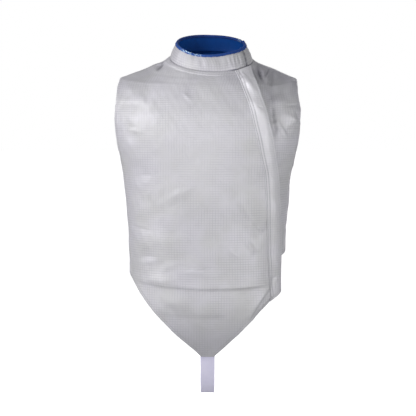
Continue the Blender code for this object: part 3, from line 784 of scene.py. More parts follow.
def nodeMath(tree, operation, *values):
    node = tree.nodes.new("ShaderNodeMath")
    node.operation = operation
    for socket, value in zip(node.inputs, values):
        feed(tree, socket, value)
    return node.outputs[0]


def nodeRange(tree, value, low, high, toLow=0.0, toHigh=1.0):
    node = tree.nodes.new("ShaderNodeMapRange")
    node.interpolation_type = "SMOOTHSTEP"
    for name, setting in (("From Min", low), ("From Max", high), ("To Min", toLow), ("To Max", toHigh)):
        node.inputs[name].default_value = setting
    tree.links.new(value, node.inputs["Value"])
    return node.outputs["Result"]


def nodeMix(tree, part, first, second):
    node = tree.nodes.new("ShaderNodeMix")
    node.data_type = "RGBA"
    for socket, value in ((node.inputs[0], part), (node.inputs[6], first), (node.inputs[7], second)):
        feed(tree, socket, value)
    return node.outputs[2]


def nodeNoise(tree, where, scale, detail=2.0, roughness=0.5):
    node = tree.nodes.new("ShaderNodeTexNoise")
    for title, value in (("Vector", where), ("Scale", scale), ("Detail", detail), ("Roughness", roughness)):
        feed(tree, node.inputs[title], value)
    return node.outputs["Fac"]


def nodeMark(tree, mark):  # a named value that the mesh carries at its points
    node = tree.nodes.new("ShaderNodeAttribute")
    node.attribute_name = mark
    return node.outputs["Fac"]


def newGroup(name, inputs, outputs):
    group = bpy.data.node_groups.new(name, "ShaderNodeTree")
    for title, kind, start in inputs:
        socket = group.interface.new_socket(name=title, in_out="INPUT", socket_type=kind)
        if start is not None:
            socket.default_value = start
    for title, kind in outputs:
        group.interface.new_socket(name=title, in_out="OUTPUT", socket_type=kind)
    return group, group.nodes.new("NodeGroupInput").outputs, group.nodes.new("NodeGroupOutput").inputs


def makeGridGroup():  # thin darker lines each way, fainter in patches, as the metal threads show
    group, given, made = newGroup(
        "gridLines",
        (
            ("Cloth", "NodeSocketVector", None),
            ("Pitch Across", "NodeSocketFloat", 0.0055),
            ("Pitch Along", "NodeSocketFloat", 0.0050),
            ("Line Share", "NodeSocketFloat", 0.30),
            ("Patch Size", "NodeSocketFloat", 0.05),
        ),
        (("Across Lines", "NodeSocketFloat"), ("Along Lines", "NodeSocketFloat")),
    )
    split = group.nodes.new("ShaderNodeSeparateXYZ")
    group.links.new(given["Cloth"], split.inputs[0])
    scale = nodeMath(group, "DIVIDE", 1.0, given["Patch Size"])
    start = nodeMath(group, "SUBTRACT", 1.0, given["Line Share"])
    places = (("X", "Pitch Across", "Along Lines", 0.0), ("Y", "Pitch Along", "Across Lines", 5.0))
    for axis, pitch, output, shift in places:
        cell = nodeMath(group, "FRACT", nodeMath(group, "DIVIDE", split.outputs[axis], given[pitch]))
        middle = nodeMath(group, "ABSOLUTE", nodeMath(group, "SUBTRACT", cell, 0.5))
        edge = nodeMath(group, "MULTIPLY", middle, 2.0)
        part = nodeMath(group, "DIVIDE", nodeMath(group, "SUBTRACT", edge, start), given["Line Share"])
        line = nodeRange(group, part, 0.0, 0.8)
        moved = group.nodes.new("ShaderNodeVectorMath")
        moved.operation = "ADD"
        moved.inputs[1].default_value = (shift, shift, 0)
        group.links.new(given["Cloth"], moved.inputs[0])
        patch = nodeRange(group, nodeNoise(group, moved.outputs[0], scale), 0.32, 0.62, 0.12, 1.0)
        group.links.new(nodeMath(group, "MULTIPLY", line, patch), made[output])
    return group


def makeWeaveGroup():  # over-and-under threads, as a height
    group, given, made = newGroup(
        "threadWeave",
        (("Cloth", "NodeSocketVector", None), ("Thread Pitch", "NodeSocketFloat", 0.0012)),
        (("Height", "NodeSocketFloat"),),
    )
    split = group.nodes.new("ShaderNodeSeparateXYZ")
    group.links.new(given["Cloth"], split.inputs[0])
    turns = nodeMath(group, "DIVIDE", math.pi, given["Thread Pitch"])
    angles = [nodeMath(group, "MULTIPLY", split.outputs[axis], turns) for axis in ("X", "Y")]
    product = nodeMath(group, "MULTIPLY", *(nodeMath(group, "SINE", angle) for angle in angles))
    group.links.new(nodeMath(group, "MULTIPLY_ADD", product, 0.5, 0.5), made["Height"])
    return group


def makeCloudGroup():  # broad soft unevenness of tone, from 0 to 1
    group, given, made = newGroup(
        "softClouds",
        (("Where", "NodeSocketVector", None), ("Cloud Size", "NodeSocketFloat", 0.06)),
        (("Tone", "NodeSocketFloat"),),
    )
    noise = nodeNoise(group, given["Where"], nodeMath(group, "DIVIDE", 1.0, given["Cloud Size"]), 3.0, 0.55)
    group.links.new(nodeRange(group, noise, 0.28, 0.72), made["Tone"])
    return group


gridGroup = makeGridGroup()
weaveGroup = makeWeaveGroup()
cloudGroup = makeCloudGroup()


def useGroup(tree, group, settings):
    node = tree.nodes.new("ShaderNodeGroup")
    node.node_tree = group
    for title, value in settings.items():
        feed(tree, node.inputs[title], value)
    return node.outputs


def newMaterial(name, settings):
    made = bpy.data.materials.new(name)
    made.use_nodes = True
    tree = made.node_tree
    shader = tree.nodes["Principled BSDF"].inputs
    for title, value in settings.items():
        feed(tree, shader[title], value)
    clothMap = tree.nodes.new("ShaderNodeUVMap")
    clothMap.uv_map = "clothMap"
    where = tree.nodes.new("ShaderNodeTexCoord").outputs["Object"]
    return made, tree, shader, clothMap.outputs[0], where


def addBump(tree, shader, height, distance):
    bump = tree.nodes.new("ShaderNodeBump")
    bump.inputs["Distance"].default_value = distance
    bump.inputs["Strength"].default_value = 1.0
    tree.links.new(height, bump.inputs["Height"])
    tree.links.new(bump.outputs[0], shader["Normal"])


def cloudTone(tree, where, look):
    return useGroup(tree, cloudGroup, {"Where": where, "Cloud Size": look["cloudSize"]})["Tone"]


metalLook = {
    "colour": (0.690, 0.683, 0.725),
    "line": (0.400, 0.395, 0.440),
    "warm": (0.640, 0.640, 0.645),
    # The colour that painted light mixes toward, on the placket and on some areas of the front
    "pale": (0.860, 0.855, 0.885),
    "pitchAcross": 0.0056,
    "pitchAlong": 0.0050,
    "lineStrength": 0.45,
    "uprightShare": 0.8,  # the upright lines' strength beside that of the level ones
    # The colour that painted shade mixes toward, and how far a full mark goes: painted shade along seams,
    # stitch rows and folds and over areas in shade
    "shadeColour": (0.26, 0.26, 0.29),
    "shadeShare": 0.42,
    "bump": 0.00016,
    "weaveShare": 0.6,  # how much the threads stand out beside the grid's lines
    "cloudSize": 0.06,
    "cloudRoughness": 0.10,  # how much rougher the duller clouds are
    "lineRoughness": 0.12,
    "shader": {
        "Roughness": 0.60, "Metallic": 0.40, "Specular IOR Level": 0.2, "Sheen Weight": 0.06,
        "Sheen Roughness": 0.5,
    },
}


def makeMetalCloth():
    look = metalLook
    made, tree, shader, cloth, where = newMaterial("metalCloth", look["shader"])
    pitches = {"Pitch Across": look["pitchAcross"], "Pitch Along": look["pitchAlong"]}
    grid = useGroup(tree, gridGroup, {"Cloth": cloth, **pitches})
    weave = useGroup(tree, weaveGroup, {"Cloth": cloth})["Height"]
    tone = cloudTone(tree, where, look)
    upright = nodeMath(tree, "MULTIPLY", grid["Along Lines"], look["uprightShare"])
    lines = nodeMath(tree, "MAXIMUM", grid["Across Lines"], upright)
    colour = nodeMix(tree, tone, look["colour"], look["warm"])
    colour = nodeMix(tree, nodeMath(tree, "MULTIPLY", lines, look["lineStrength"]), colour, look["line"])
    # Painted light from its mark, then painted shade from the other mark
    colour = nodeMix(tree, nodeMark(tree, "paintedLightShare"), colour, look["pale"])
    seam = nodeMath(tree, "MULTIPLY", nodeMark(tree, "seamShade"), look["shadeShare"])
    tree.links.new(nodeMix(tree, seam, colour, look["shadeColour"]), shader["Base Color"])
    smooth = look["shader"]["Roughness"] - look["cloudRoughness"] / 2
    rough = nodeMath(tree, "MULTIPLY_ADD", tone, look["cloudRoughness"], smooth)
    rough = nodeMath(tree, "MULTIPLY_ADD", lines, look["lineRoughness"], rough)
    tree.links.new(rough, shader["Roughness"])
    height = nodeMath(tree, "SUBTRACT", nodeMath(tree, "MULTIPLY", weave, look["weaveShare"]), lines)
    addBump(tree, shader, height, look["bump"])
    return made


liningLook = {
    "colour": (0.0034, 0.064, 0.290), "deep": (0.0022, 0.044, 0.215), "pitch": 0.0010, "bump": 0.00012,
    "cloudSize": 0.06,
    "shader": {
        "Roughness": 0.62, "Specular IOR Level": 0.12, "Sheen Weight": 0.05, "Sheen Tint": (0.2, 0.4, 1.0),
    },
}

braidLook = {
    "colour": (0.009, 0.045, 0.23), "deep": (0.004, 0.026, 0.150), "pitch": 0.0011, "bump": 0.00020,
    "cloudSize": 0.02,
    "fleck": (0.60, 0.82, 0.98),  # worn threads
    "fleckScale": 420.0,
    # The lighter colour of painted light on the front of the braid
    "faded": (0.040, 0.125, 0.44),
    "shader": {"Roughness": 0.48, "Specular IOR Level": 0.2, "Sheen Weight": 0.05},
}

strapLook = {
    "colour": (0.79, 0.77, 0.93), "deep": (0.68, 0.665, 0.85), "pitch": 0.0011, "bump": 0.00022,
    "cloudSize": 0.03,
    "weaveShare": 0.3,  # how much the weave and the clouds darken it
    "cloudShare": 0.5,
    "shader": {"Roughness": 0.72, "Sheen Weight": 0.15},
}

zipLook = {
    "colour": (0.42, 0.42, 0.45), "deep": (0.55, 0.55, 0.57), "pitch": 0.0012, "bump": 0.00012,
    "shader": {"Roughness": 0.75},
    "teeth": (0.62, 0.62, 0.64),
    "metal": (0.60, 0.60, 0.62),
}


def startWoven(name, look):  # a woven cloth's material, with its threads as a bump
    made, tree, shader, cloth, where = newMaterial(name, look["shader"])
    weave = useGroup(tree, weaveGroup, {"Cloth": cloth, "Thread Pitch": look["pitch"]})["Height"]
    addBump(tree, shader, weave, look["bump"])
    return made, tree, shader, weave, where


def makeLining():
    made, tree, shader, weave, where = startWoven("liningCloth", liningLook)
    colour = nodeMix(tree, cloudTone(tree, where, liningLook), liningLook["colour"], liningLook["deep"])
    tree.links.new(colour, shader["Base Color"])
    return made


def makeBraidCloth():
    made, tree, shader, weave, where = startWoven("bindingBraid", braidLook)
    colour = nodeMix(tree, cloudTone(tree, where, braidLook), braidLook["colour"], braidLook["deep"])
    # Painted light: the braid is lighter at the front and darker at the back
    colour = nodeMix(tree, nodeMark(tree, "faded"), colour, braidLook["faded"])
    flecks = nodeRange(tree, nodeNoise(tree, where, braidLook["fleckScale"]), 0.50, 0.60)
    worn = nodeMath(tree, "MULTIPLY", nodeMark(tree, "wear"), flecks)
    tree.links.new(nodeMix(tree, worn, colour, braidLook["fleck"]), shader["Base Color"])
    return made


def makeStrapElastic():
    made, tree, shader, weave, where = startWoven("strapElastic", strapLook)
    cloudy = nodeMath(tree, "MULTIPLY", cloudTone(tree, where, strapLook), strapLook["cloudShare"])
    part = nodeMath(tree, "MULTIPLY_ADD", weave, strapLook["weaveShare"], cloudy)
    tree.links.new(nodeMix(tree, part, strapLook["colour"], strapLook["deep"]), shader["Base Color"])
    return made


def makeZipTape():
    made, tree, shader, weave, where = startWoven("zipTape", zipLook)
    tree.links.new(nodeMix(tree, weave, zipLook["colour"], zipLook["deep"]), shader["Base Color"])
    return made


def makeHard(name, colour, roughness, metallic, grain):
    made, tree, shader, cloth, where = newMaterial(name, {"Metallic": metallic, "Roughness": roughness})
    noise = nodeNoise(tree, where, grain, 3.0)
    darker = tuple(0.8 * part for part in colour)
    tree.links.new(nodeMix(tree, noise, colour, darker), shader["Base Color"])
    tree.links.new(nodeMath(tree, "MULTIPLY_ADD", noise, 0.12, roughness - 0.06), shader["Roughness"])
    return made


def makeThread(name, colour):
    made, tree, shader, cloth, where = newMaterial(name, {"Roughness": 0.6})
    darker = tuple(0.7 * part for part in colour)
    tree.links.new(nodeMix(tree, nodeNoise(tree, where, 1800.0, 1.0), colour, darker), shader["Base Color"])
    return made


metalCloth = makeMetalCloth()
liningCloth = makeLining()
bindingBraid = makeBraidCloth()
strapElastic = makeStrapElastic()
zipTape = makeZipTape()
zipPlastic = makeHard("zipPlastic", zipLook["teeth"], 0.40, 0.0, 300.0)
sliderMetal = makeHard("sliderMetal", zipLook["metal"], 0.34, 1.0, 260.0)
greyThread = makeThread("greyThread", (0.34, 0.34, 0.37))
blueThread = makeThread("blueThread", (0.010, 0.060, 0.28))
print("The materials are made")

# Edges of the panels: hems and armholes are turned and stitched, seams sink in

edges = {
    "cloth": 0.0016,
    "hemHeight": 0.00018,
    "hemWidth": 0.0080,
    "hemSoft": 0.0010,
    "stitch": 0.0066,
    "groove": 0.00016,
    "grooveWidth": 0.0010,
    "seamDip": 0.0007,
    "seamWidth": 0.0016,
    "seamStitch": 0.0060,
    # The next three: the width and strength of painted shade along the hem stitch rows and along the seams
    "shadeWidth": 0.0013,
    "hemShade": 0.25,
    "seamShade": 0.7,
    "seamSplit": 0.006,  # a seam's dip fades that near to the armhole
}
stitchPaths = {"grey": [], "blue": []}


def grooveAt(gap, place):
    return np.exp(-((gap - place) / edges["grooveWidth"]) ** 2)


def hemRelief(gap):
    band = edges["hemHeight"] * smoothStep(edges["hemWidth"] + edges["hemSoft"], edges["hemWidth"], gap)
    return band - edges["groove"] * grooveAt(gap, edges["stitch"])


def seamRelief(gap):
    dip = edges["seamDip"] * np.exp(-(gap / edges["seamWidth"]) ** 2)
    return -dip - 0.6 * edges["groove"] * grooveAt(gap, edges["seamStitch"])


def shadeAt(gap, place):
    return np.exp(-((gap - place) / edges["shadeWidth"]) ** 2)


def layOn(path, outer, normals):  # moves a path's points onto a grid of points, with the normals there
    flat, flatNormals = outer.reshape(-1, 3), normals.reshape(-1, 3)
    nearest = np.array([np.argmin(np.einsum("ij,ij->i", flat - point, flat - point)) for point in path])
    facingOut = flatNormals[nearest]
    away = np.einsum("ij,ij->i", flat[nearest] - path, facingOut)
    return path + facingOut * away[:, None], facingOut


def insetLine(line, normals, toward, distance):  # a line moved sideways over the surface, towards a point
    along = unit(np.gradient(line, axis=0))
    side = unit(np.cross(normals, along))
    if np.sum((toward - line) * side) < 0:
        side = -side
    return line + side * distance


def besideArmhole(heights):
    return (heights >= armhole["low"] - 1e-6) & (heights <= armhole["top"] + 1e-6)


def makePanel(name, turnAt, columns, hemAt, sides, covered, node):
    # Sides names the grid's columns that are a side seam with an armhole in it. Covered gives how far
    # a column lies under the placket, where the panel has no hem.
    turns, heights = panelPlaces(turnAt, columns, hemAt)
    base, normals = bodyPoint(turns, heights), bodyNormal(turns, heights)
    lift = surfaceLift(base, np.sin(turns) > 0)
    bare = 1 - covered(np.array(columns))[None, :]
    hemGap = nearestOn(base, base[0])
    relief = hemRelief(hemGap)
    # Painted shade along the hem and armhole stitch rows and beside the side seams, where their grooves
    # would lie in shade
    shade = edges["hemShade"] * shadeAt(hemGap, edges["stitch"])
    for side in sides:
        sideHeights = heights[:, side]
        armGap = nearestOn(base, base[besideArmhole(sideHeights), side])
        relief += hemRelief(armGap)
        shade = np.maximum(shade, edges["hemShade"] * shadeAt(armGap, edges["stitch"]))
        for part in (sideHeights <= armhole["low"] + 1e-6, sideHeights >= armhole["top"] - 1e-6):
            seamGap = nearestOn(base, base[part, side])
            relief += seamRelief(seamGap) * smoothStep(0.0, edges["seamSplit"], armGap)
            shade = np.maximum(shade, edges["seamShade"] * np.exp(-(seamGap / edges["seamWidth"]) ** 2))
    # Painted shade from the fold lines, patches and the V's tip, and painted light where that tone is below
    # 0
    tone = foldShade(base)
    shade = np.maximum(shade, tone)
    lift += relief * bare
    outer = base + normals * lift[..., None]
    inner = base + normals * (lift - edges["cloth"])[..., None]
    uv = clothCoordinates(turns, heights)
    marks = {"seamShade": shade * bare, "paintedLightShare": np.maximum(-tone, 0)}
    mesh = shell(name, outer, inner, uv, metalCloth, liningCloth, marks)
    piece = attach(name, mesh, "metal_cloth", node)
    middle = outer[len(outer) // 2, outer.shape[1] // 2]
    shown = bare[0] > 0.5
    hemLine = insetLine(base[0][shown], normals[0][shown], middle, edges["stitch"])
    stitchPaths["grey"].append(layOn(hemLine, outer, normals))
    for side in sides:
        inArmhole = besideArmhole(heights[:, side])
        armLine = insetLine(base[inArmhole, side], normals[inArmhole, side], middle, edges["stitch"])
        stitchPaths["grey"].append(layOn(armLine, outer, normals))
    print(name, "is made")
    return piece


def mixTurns(first, second, part):
    return first * (1 - part) + second * part


def frontTurn(column, height):  # 0 at the right side, 1 at the sewn line, then on under the placket
    bare = mixTurns(math.pi - sideTurn(height, True), closingTurn(0, height), np.minimum(column, 1))
    return np.where(column <= 1, bare, closingTurn(np.maximum(column - 1, 0), height))


def leftFrontTurn(column, height):  # 0 under the placket, 1 at its free edge, 2 at the left side
    part = closing["leftEdge"] + (1 - closing["leftEdge"]) * np.minimum(column, 1)
    free = mixTurns(closingTurn(1.0, height), sideTurn(height, True), np.clip(column - 1, 0, 1))
    return np.where(column <= 1, closingTurn(part, height), free)


def backTurn(column, height):
    return mixTurns(math.pi + sideTurn(height, False), 2 * math.pi - sideTurn(height, False), column)


def tipColumn(x):  # the front's column that passes a corner of the V's tip
    tip = np.array(hems["tip"])
    turn = turnOfX(x, tip)
    turn = turn if x > section["centre"](tip) else math.pi - turn
    right, sewn = math.pi - sideTurn(tip, True), closingTurn(0, tip)
    return float((turn - right) / (sewn - right))


panels = {
    "front": (9, 66, 10, 50, 4, 6),  # columns between the front's stops, from the right side
    "frontEdge": 0.030,
    "frontSewn": 0.985,
    "left": (5, 2, 36, 9),
    "leftStops": (0, 0.9, 1.0, 1.92, 2),
    "back": (9, 148, 9),
    "backStops": (0, 0.022, 0.978, 1),
}
tipStops = (tipColumn(hems["tipRight"]), tipColumn(hems["tipLeft"]))
frontStops = (0, panels["frontEdge"], *tipStops, panels["frontSewn"], 1, 1 + closing["frontEdge"])

frontPiece = makePanel(
    "front_cloth", frontTurn, between(frontStops, panels["front"]), frontHem, (0,),
    lambda column: smoothStep(panels["frontSewn"], 1.0, column), "front_panel")
leftPiece = makePanel(
    "left_front_cloth", leftFrontTurn, between(panels["leftStops"], panels["left"]), leftFrontHem, (-1,),
    lambda column: smoothStep(1.03, 0.99, column), "left_front_panel")
backPiece = makePanel(
    "back_cloth", backTurn, between(panels["backStops"], panels["back"]), backHem, (0, -1),
    lambda column: 0 * column, "back_panel")


def gridUv(points, rowStart=0, columnStart=0):  # metres along the columns and rows of a grid of points
    across = np.cumsum(np.linalg.norm(np.diff(points, axis=1), axis=2), axis=1)
    across = np.concatenate((np.zeros((len(points), 1)), across), axis=1)
    along = np.cumsum(np.linalg.norm(np.diff(points, axis=0), axis=2), axis=0)
    along = np.concatenate((np.zeros((1, points.shape[1])), along), axis=0)
    across -= across[:, columnStart:columnStart + 1]
    return np.stack((across, along - along[rowStart:rowStart + 1]), axis=-1)


# The placket: a flap that is sewn down along its right edge with two rows, and free at its left edge

placket = {
    "parts": (0, 0.22, 0.43, 0.57, 0.78, 1),
    "lifts": (0.0003, 0.0016, 0.0026, 0.0034, 0.0039, 0.0037),
    "cloth": 0.0014,
    "top": -0.003,
    "rows": (0.0018, 0.0068),  # the two rows of stitching, from the sewn edge
    "freeRow": 0.0040,
    "freeGroove": 0.6,  # how deep its groove is beside the others'
    "groove": 0.00032,
    "grooveWidth": 0.0009,
    "puff": 0.0006,
    "least": 0.0003,  # it comes no nearer to the front than that
    "columns": ((0, 0.06, 0.94, 1), (4, 22, 4)),
    "spacing": 0.0020,
    # Height, from the bottom up, and how much painted light brightens the placket there, where its strip
    # catches the light
    "pale": ((-0.500, 0.05), (-0.350, 0.20), (-0.250, 0.45), (-0.100, 0.70), (0.0, 0.60)),
    # Height, part across, lean in degrees, length, width and rise of its creases
    "creases": (
        (-0.012, 0.20, 62, 0.020, 0.0022, -0.0016), (-0.017, 0.36, 118, 0.018, 0.0020, 0.0010),
        (-0.022, 0.14, 40, 0.014, 0.0018, -0.0012), (-0.036, 0.40, 104, 0.078, 0.0070, 0.0036),
        (-0.098, 0.62, 150, 0.020, 0.0026, -0.0007), (-0.098, 0.42, 100, 0.060, 0.0060, 0.0018),
        (-0.152, 0.66, 20, 0.016, 0.0030, 0.0005), (-0.190, 0.58, 92, 0.060, 0.0040, 0.0004),
        (-0.236, 0.60, 165, 0.018, 0.0028, -0.0005), (-0.262, 0.70, 14, 0.014, 0.0022, -0.0005),
        (-0.300, 0.55, 88, 0.052, 0.0045, 0.0004), (-0.338, 0.66, 30, 0.018, 0.0030, -0.0005),
        (-0.372, 0.58, 170, 0.016, 0.0026, -0.0006), (-0.401, 0.62, 8, 0.020, 0.0028, 0.0005),
        (-0.433, 0.55, 80, 0.030, 0.0032, -0.0008), (-0.446, 0.40, 20, 0.016, 0.0020, -0.0012),
        (-0.451, 0.60, 165, 0.018, 0.0022, 0.0009), (-0.462, 0.50, 95, 0.020, 0.0026, -0.0010),
    ),
}



def placketOut(parts, heights, points):  # how far the flap stands off the front
    width = np.linalg.norm(points[:, -1] - points[:, 0], axis=-1)[:, None]
    out = smoothCurve(placket["parts"], placket["lifts"])(parts)
    out += placket["puff"] * np.sin(math.pi * parts) ** 2
    fromSewn, fromFree = parts * width, (1 - parts) * width
    rows = [(fromSewn, row, 1.0) for row in placket["rows"]]
    rows.append((fromFree, placket["freeRow"], placket["freeGroove"]))
    for gap, row, share in rows:
        out -= share * placket["groove"] * np.exp(-((gap - row) / placket["grooveWidth"]) ** 2)
    for height, part, lean, length, across, rise in placket["creases"]:
        along, aside = foldPlace((parts - part) * width, heights - height, lean, length)
        out += rise * (1 - np.clip(along, 0, 1) ** 2) ** 2 * np.exp(-(aside / across) ** 2)
    return np.maximum(out, placket["least"])


def makePlacket():
    columns = between(*placket["columns"])
    turns, heights = panelPlaces(closingTurn, columns, frontHem, placket["top"], placket["spacing"])
    base, normals = bodyPoint(turns, heights), bodyNormal(turns, heights)
    parts = np.array(columns)[None, :] + 0 * heights
    lift = surfaceLift(base, np.sin(turns) > 0) + placketOut(parts, heights, base)
    outer = base + normals * (lift + placket["cloth"] + hemRelief(nearestOn(base, base[0])))[..., None]
    inner = base + normals * lift[..., None]
    width = np.linalg.norm(base[:, -1] - base[:, 0], axis=-1)
    # Painted shade along the two stitched rows, and painted light over the strip by height
    shade = np.zeros(heights.shape)
    for row in placket["rows"]:
        shade = np.maximum(shade, shadeAt(parts * width[:, None], row))
    marks = {"seamShade": shade, "paintedLightShare": np.interp(heights, *zip(*placket["pale"]))}
    uv = clothCoordinates(turns, heights)
    mesh = shell("placket_cloth", outer, inner, uv, metalCloth, metalCloth, marks)
    piece = attach("placket_cloth", mesh, "metal_cloth", "placket")
    for part in (*(row / width for row in placket["rows"]), 1 - placket["freeRow"] / width):
        line = np.array([pointsAt(place, columns, points) for place, points in zip(part, outer)])
        stitchPaths["grey"].append((line[3:], normals[3:, len(columns) // 2]))
    bottom = []
    for column in range(3, len(columns) - 3):
        rising = outer[:20, column]
        fromEdge = np.linalg.norm(rising - rising[0], axis=-1)
        bottom.append(pointsAt(edges["stitch"], fromEdge, rising))
    stitchPaths["grey"].append((np.array(bottom), normals[4, 3:-3]))
    print("placket_cloth is made")
    return piece


placketPiece = makePlacket()

# The standing collar with its lining and the braid over its top edge

collar = {
    "overEnd": math.radians(29),  # the end that lies outside, at the wearer's left front
    "underEnd": math.radians(410),
    "slantStart": math.radians(70),
    "slantLow": math.radians(6.3),  # the outer end's edge leans: how far it is turned at its foot
    "slantHigh": math.radians(2.7),  # and at the top
    "partingStart": math.radians(35),
    "ramp": math.radians(42),
    "parting": 0.0029,
    "belly": 0.0015,
    "cloth": 0.0012,
    "lining": 0.0010,
    "gap": 0.0003,
    "low": 0.015,
    "high": 0.970,
    "liningRaise": 0.04,  # the lining starts that much higher below the outer end
    "seamDip": 0.0008,
    "seamSoft": 0.055,  # how high above its foot, as a part of the rise, the seam's dip fades
    "endRow": 0.0040,
    "endGroove": 0.0004,
    "liningHem": 0.0005,
    "liningRow": 0.15,
    "columns": 330,
    "rows": 30,
    "middleX": 0.0065,
    # The oval that its top edge follows
    "top": {
        "centre": (0.0063, 0.001), "width": 0.0708, "front": 0.0545, "back": 0.0572,
        "middle": 0.0303, "tilt": 0.410, "roll": -0.034, "rise": 0.002,
    },
    # Turn in degrees and how much the collar stands above that oval there
    "raise": (
        (0, 0.0036), (30, 0.0040), (60, 0.0042), (75, 0.0032), (90, 0.0018), (105, 0.0006),
        (120, -0.0004), (135, 0.0008), (150, 0.0016), (175, 0.0022), (200, 0.0016), (235, 0.0006),
        (270, -0.0004), (300, 0.0006), (325, 0.0014), (345, 0.0028), (360, 0.0036), (390, 0.0040),
        (412, 0.0042),
    ),
    # Turn in degrees, rise, lean in degrees, length in rises, width in degrees and height of soft
    # creases. The close ones lie at the wearer's left front, beside the overlap.
    "creases": (
        (33, 0.40, 3, 0.9, 1.5, -0.0005), (38, 0.55, -2, 1.0, 1.4, 0.0006),
        (42, 0.45, 3, 0.9, 1.3, -0.0007), (46, 0.60, -3, 1.0, 1.3, 0.0006),
        (50, 0.40, 2, 0.8, 1.4, -0.0007), (54, 0.55, -2, 1.1, 1.5, 0.0007),
        (58, 0.48, 0, 0.9, 1.3, -0.0006), (62, 0.50, 4, 0.9, 1.4, 0.0005),
        (66, 0.40, -3, 0.7, 1.4, -0.0005), (70, 0.60, 2, 0.8, 1.9, 0.0005),
        (76, 0.45, 3, 0.9, 2.2, -0.0004), (84, 0.50, -4, 0.8, 3.5, 0.0005),
        (103, 0.40, 6, 1.0, 4.0, -0.0004), (121, 0.55, -6, 0.8, 3.4, 0.0005),
        (143, 0.45, 8, 1.0, 3.0, -0.0006), (150, 0.50, 4, 0.9, 3.0, 0.0006),
        (171, 0.50, -9, 1.1, 4.2, -0.0005), (196, 0.45, 7, 0.8, 3.6, 0.0006),
        (224, 0.55, -5, 1.0, 3.1, -0.0005), (247, 0.50, 9, 0.9, 4.6, 0.0006),
        (276, 0.45, -6, 0.8, 3.9, -0.0005), (301, 0.55, 5, 1.0, 3.3, 0.0005),
        (327, 0.50, -8, 0.9, 3.0, -0.0006), (349, 0.45, 6, 1.0, 3.6, 0.0005),
    ),
    # Its waves: height, pace along the turn, start and change over the rise
    "waves": ((0.00022, 0.21, 0.0, 2), (0.00012, 0.53, 1.3, -3)),
    # Painted shade on the collar: a painted shadow on the inner end beside the outer end's edge, shade
    # along that edge, over the side toward the wearer's right, along the foot's seam and along the end's
    # stitch row
    "shades": {
        "underEnd": 2.3,  # the dark line at the inner end, beside the outer end
        "underPlace": 389.2,  # degrees, and how far it leans over the whole rise
        "underLean": 7,
        "underWidth": 2.2,
        "overEnd": 1.8,  # the outer end's edge
        "overWidth": 0.0022,
        "right": 0.24,  # the whole collar from the middle to the wearer's right
        "rightFrom": math.radians(80),
        "rightTo": math.radians(125),
        "foot": 0.6,
        "footWidth": 0.025,
    },
}



def collarParting(turn):  # the over end lies out and the under end in, so that they pass clear
    start, ramp = collar["partingStart"] + collar["ramp"], collar["ramp"]
    over = smoothStep(start, start - ramp / 2, turn)
    under = smoothStep(collar["underEnd"] - ramp, collar["underEnd"] - ramp / 2, turn)
    return collar["parting"] * (over - under)


def collarLift(turn, rise):
    lift = np.zeros(np.broadcast(turn, rise).shape)
    degrees = np.degrees(turn)
    for place, middle, lean, length, width, height in collar["creases"]:
        along = np.clip(np.abs(rise - middle) * 2 / length, 0, 1)
        aside = (degrees - place - lean * (rise - middle)) / width
        lift += height * (1 - along ** 2) ** 2 * np.exp(-aside ** 2)
    for height, pace, start, change in collar["waves"]:
        wave = height * np.sin(degrees * pace + start + change * rise)
        lift += wave * np.sin(math.pi * np.clip(rise, 0, 1))
    return lift


def collarPoint(turn, rise, out):
    slant = smoothStep(collar["slantStart"], collar["overEnd"], turn)
    turn = turn + slant * (collar["slantLow"] + (collar["slantHigh"] - collar["slantLow"]) * rise)
    low, high = ringPoint(neckline, turn), ringPoint(collar["top"], turn)
    high[..., 2] += np.interp(np.degrees(turn), *zip(*collar["raise"]))
    around = ringPoint(neckline, turn + 0.01) - ringPoint(neckline, turn - 0.01)
    normal = unit(np.cross(high - low, around))
    bulge = collar["belly"] * np.sin(math.pi * np.clip(rise, 0, 1))
    rise = np.asarray(rise)[..., None] + 0 * low
    return low * (1 - rise) + high * rise + normal * (bulge + collarParting(turn) + out)[..., None]


collarTurns = np.linspace(collar["overEnd"], collar["underEnd"], collar["columns"])
collarRises = np.array(between((collar["low"], 0.12, 0.80, collar["high"]), (6, collar["rows"] - 8, 4)))


def outFromNeck(line):  # the level direction from the neck's middle to each point
    return unit(line * (1, 1, 0) - (collar["middleX"], 0, 0))


# Painted shade on the collar's colour, strongest as a painted shadow beside the overlap
def collarShade(turns, rises, fromEnd):
    shades = collar["shades"]
    besideEnd = np.degrees(turns) - shades["underPlace"] + shades["underLean"] * rises
    under = shades["underEnd"] * np.exp(-(besideEnd / shades["underWidth"]) ** 2) * (rises < 0.86)
    return np.max((
        under * (1 + 0.3 * np.sin(rises * 21)),
        shades["overEnd"] * np.exp(-(fromEnd / shades["overWidth"]) ** 2),
        shades["right"] * smoothStep(shades["rightFrom"], shades["rightTo"], turns),
        shades["foot"] * np.exp(-((rises - collar["low"]) / shades["footWidth"]) ** 2),
        shadeAt(fromEnd, collar["endRow"]),
    ), axis=0)


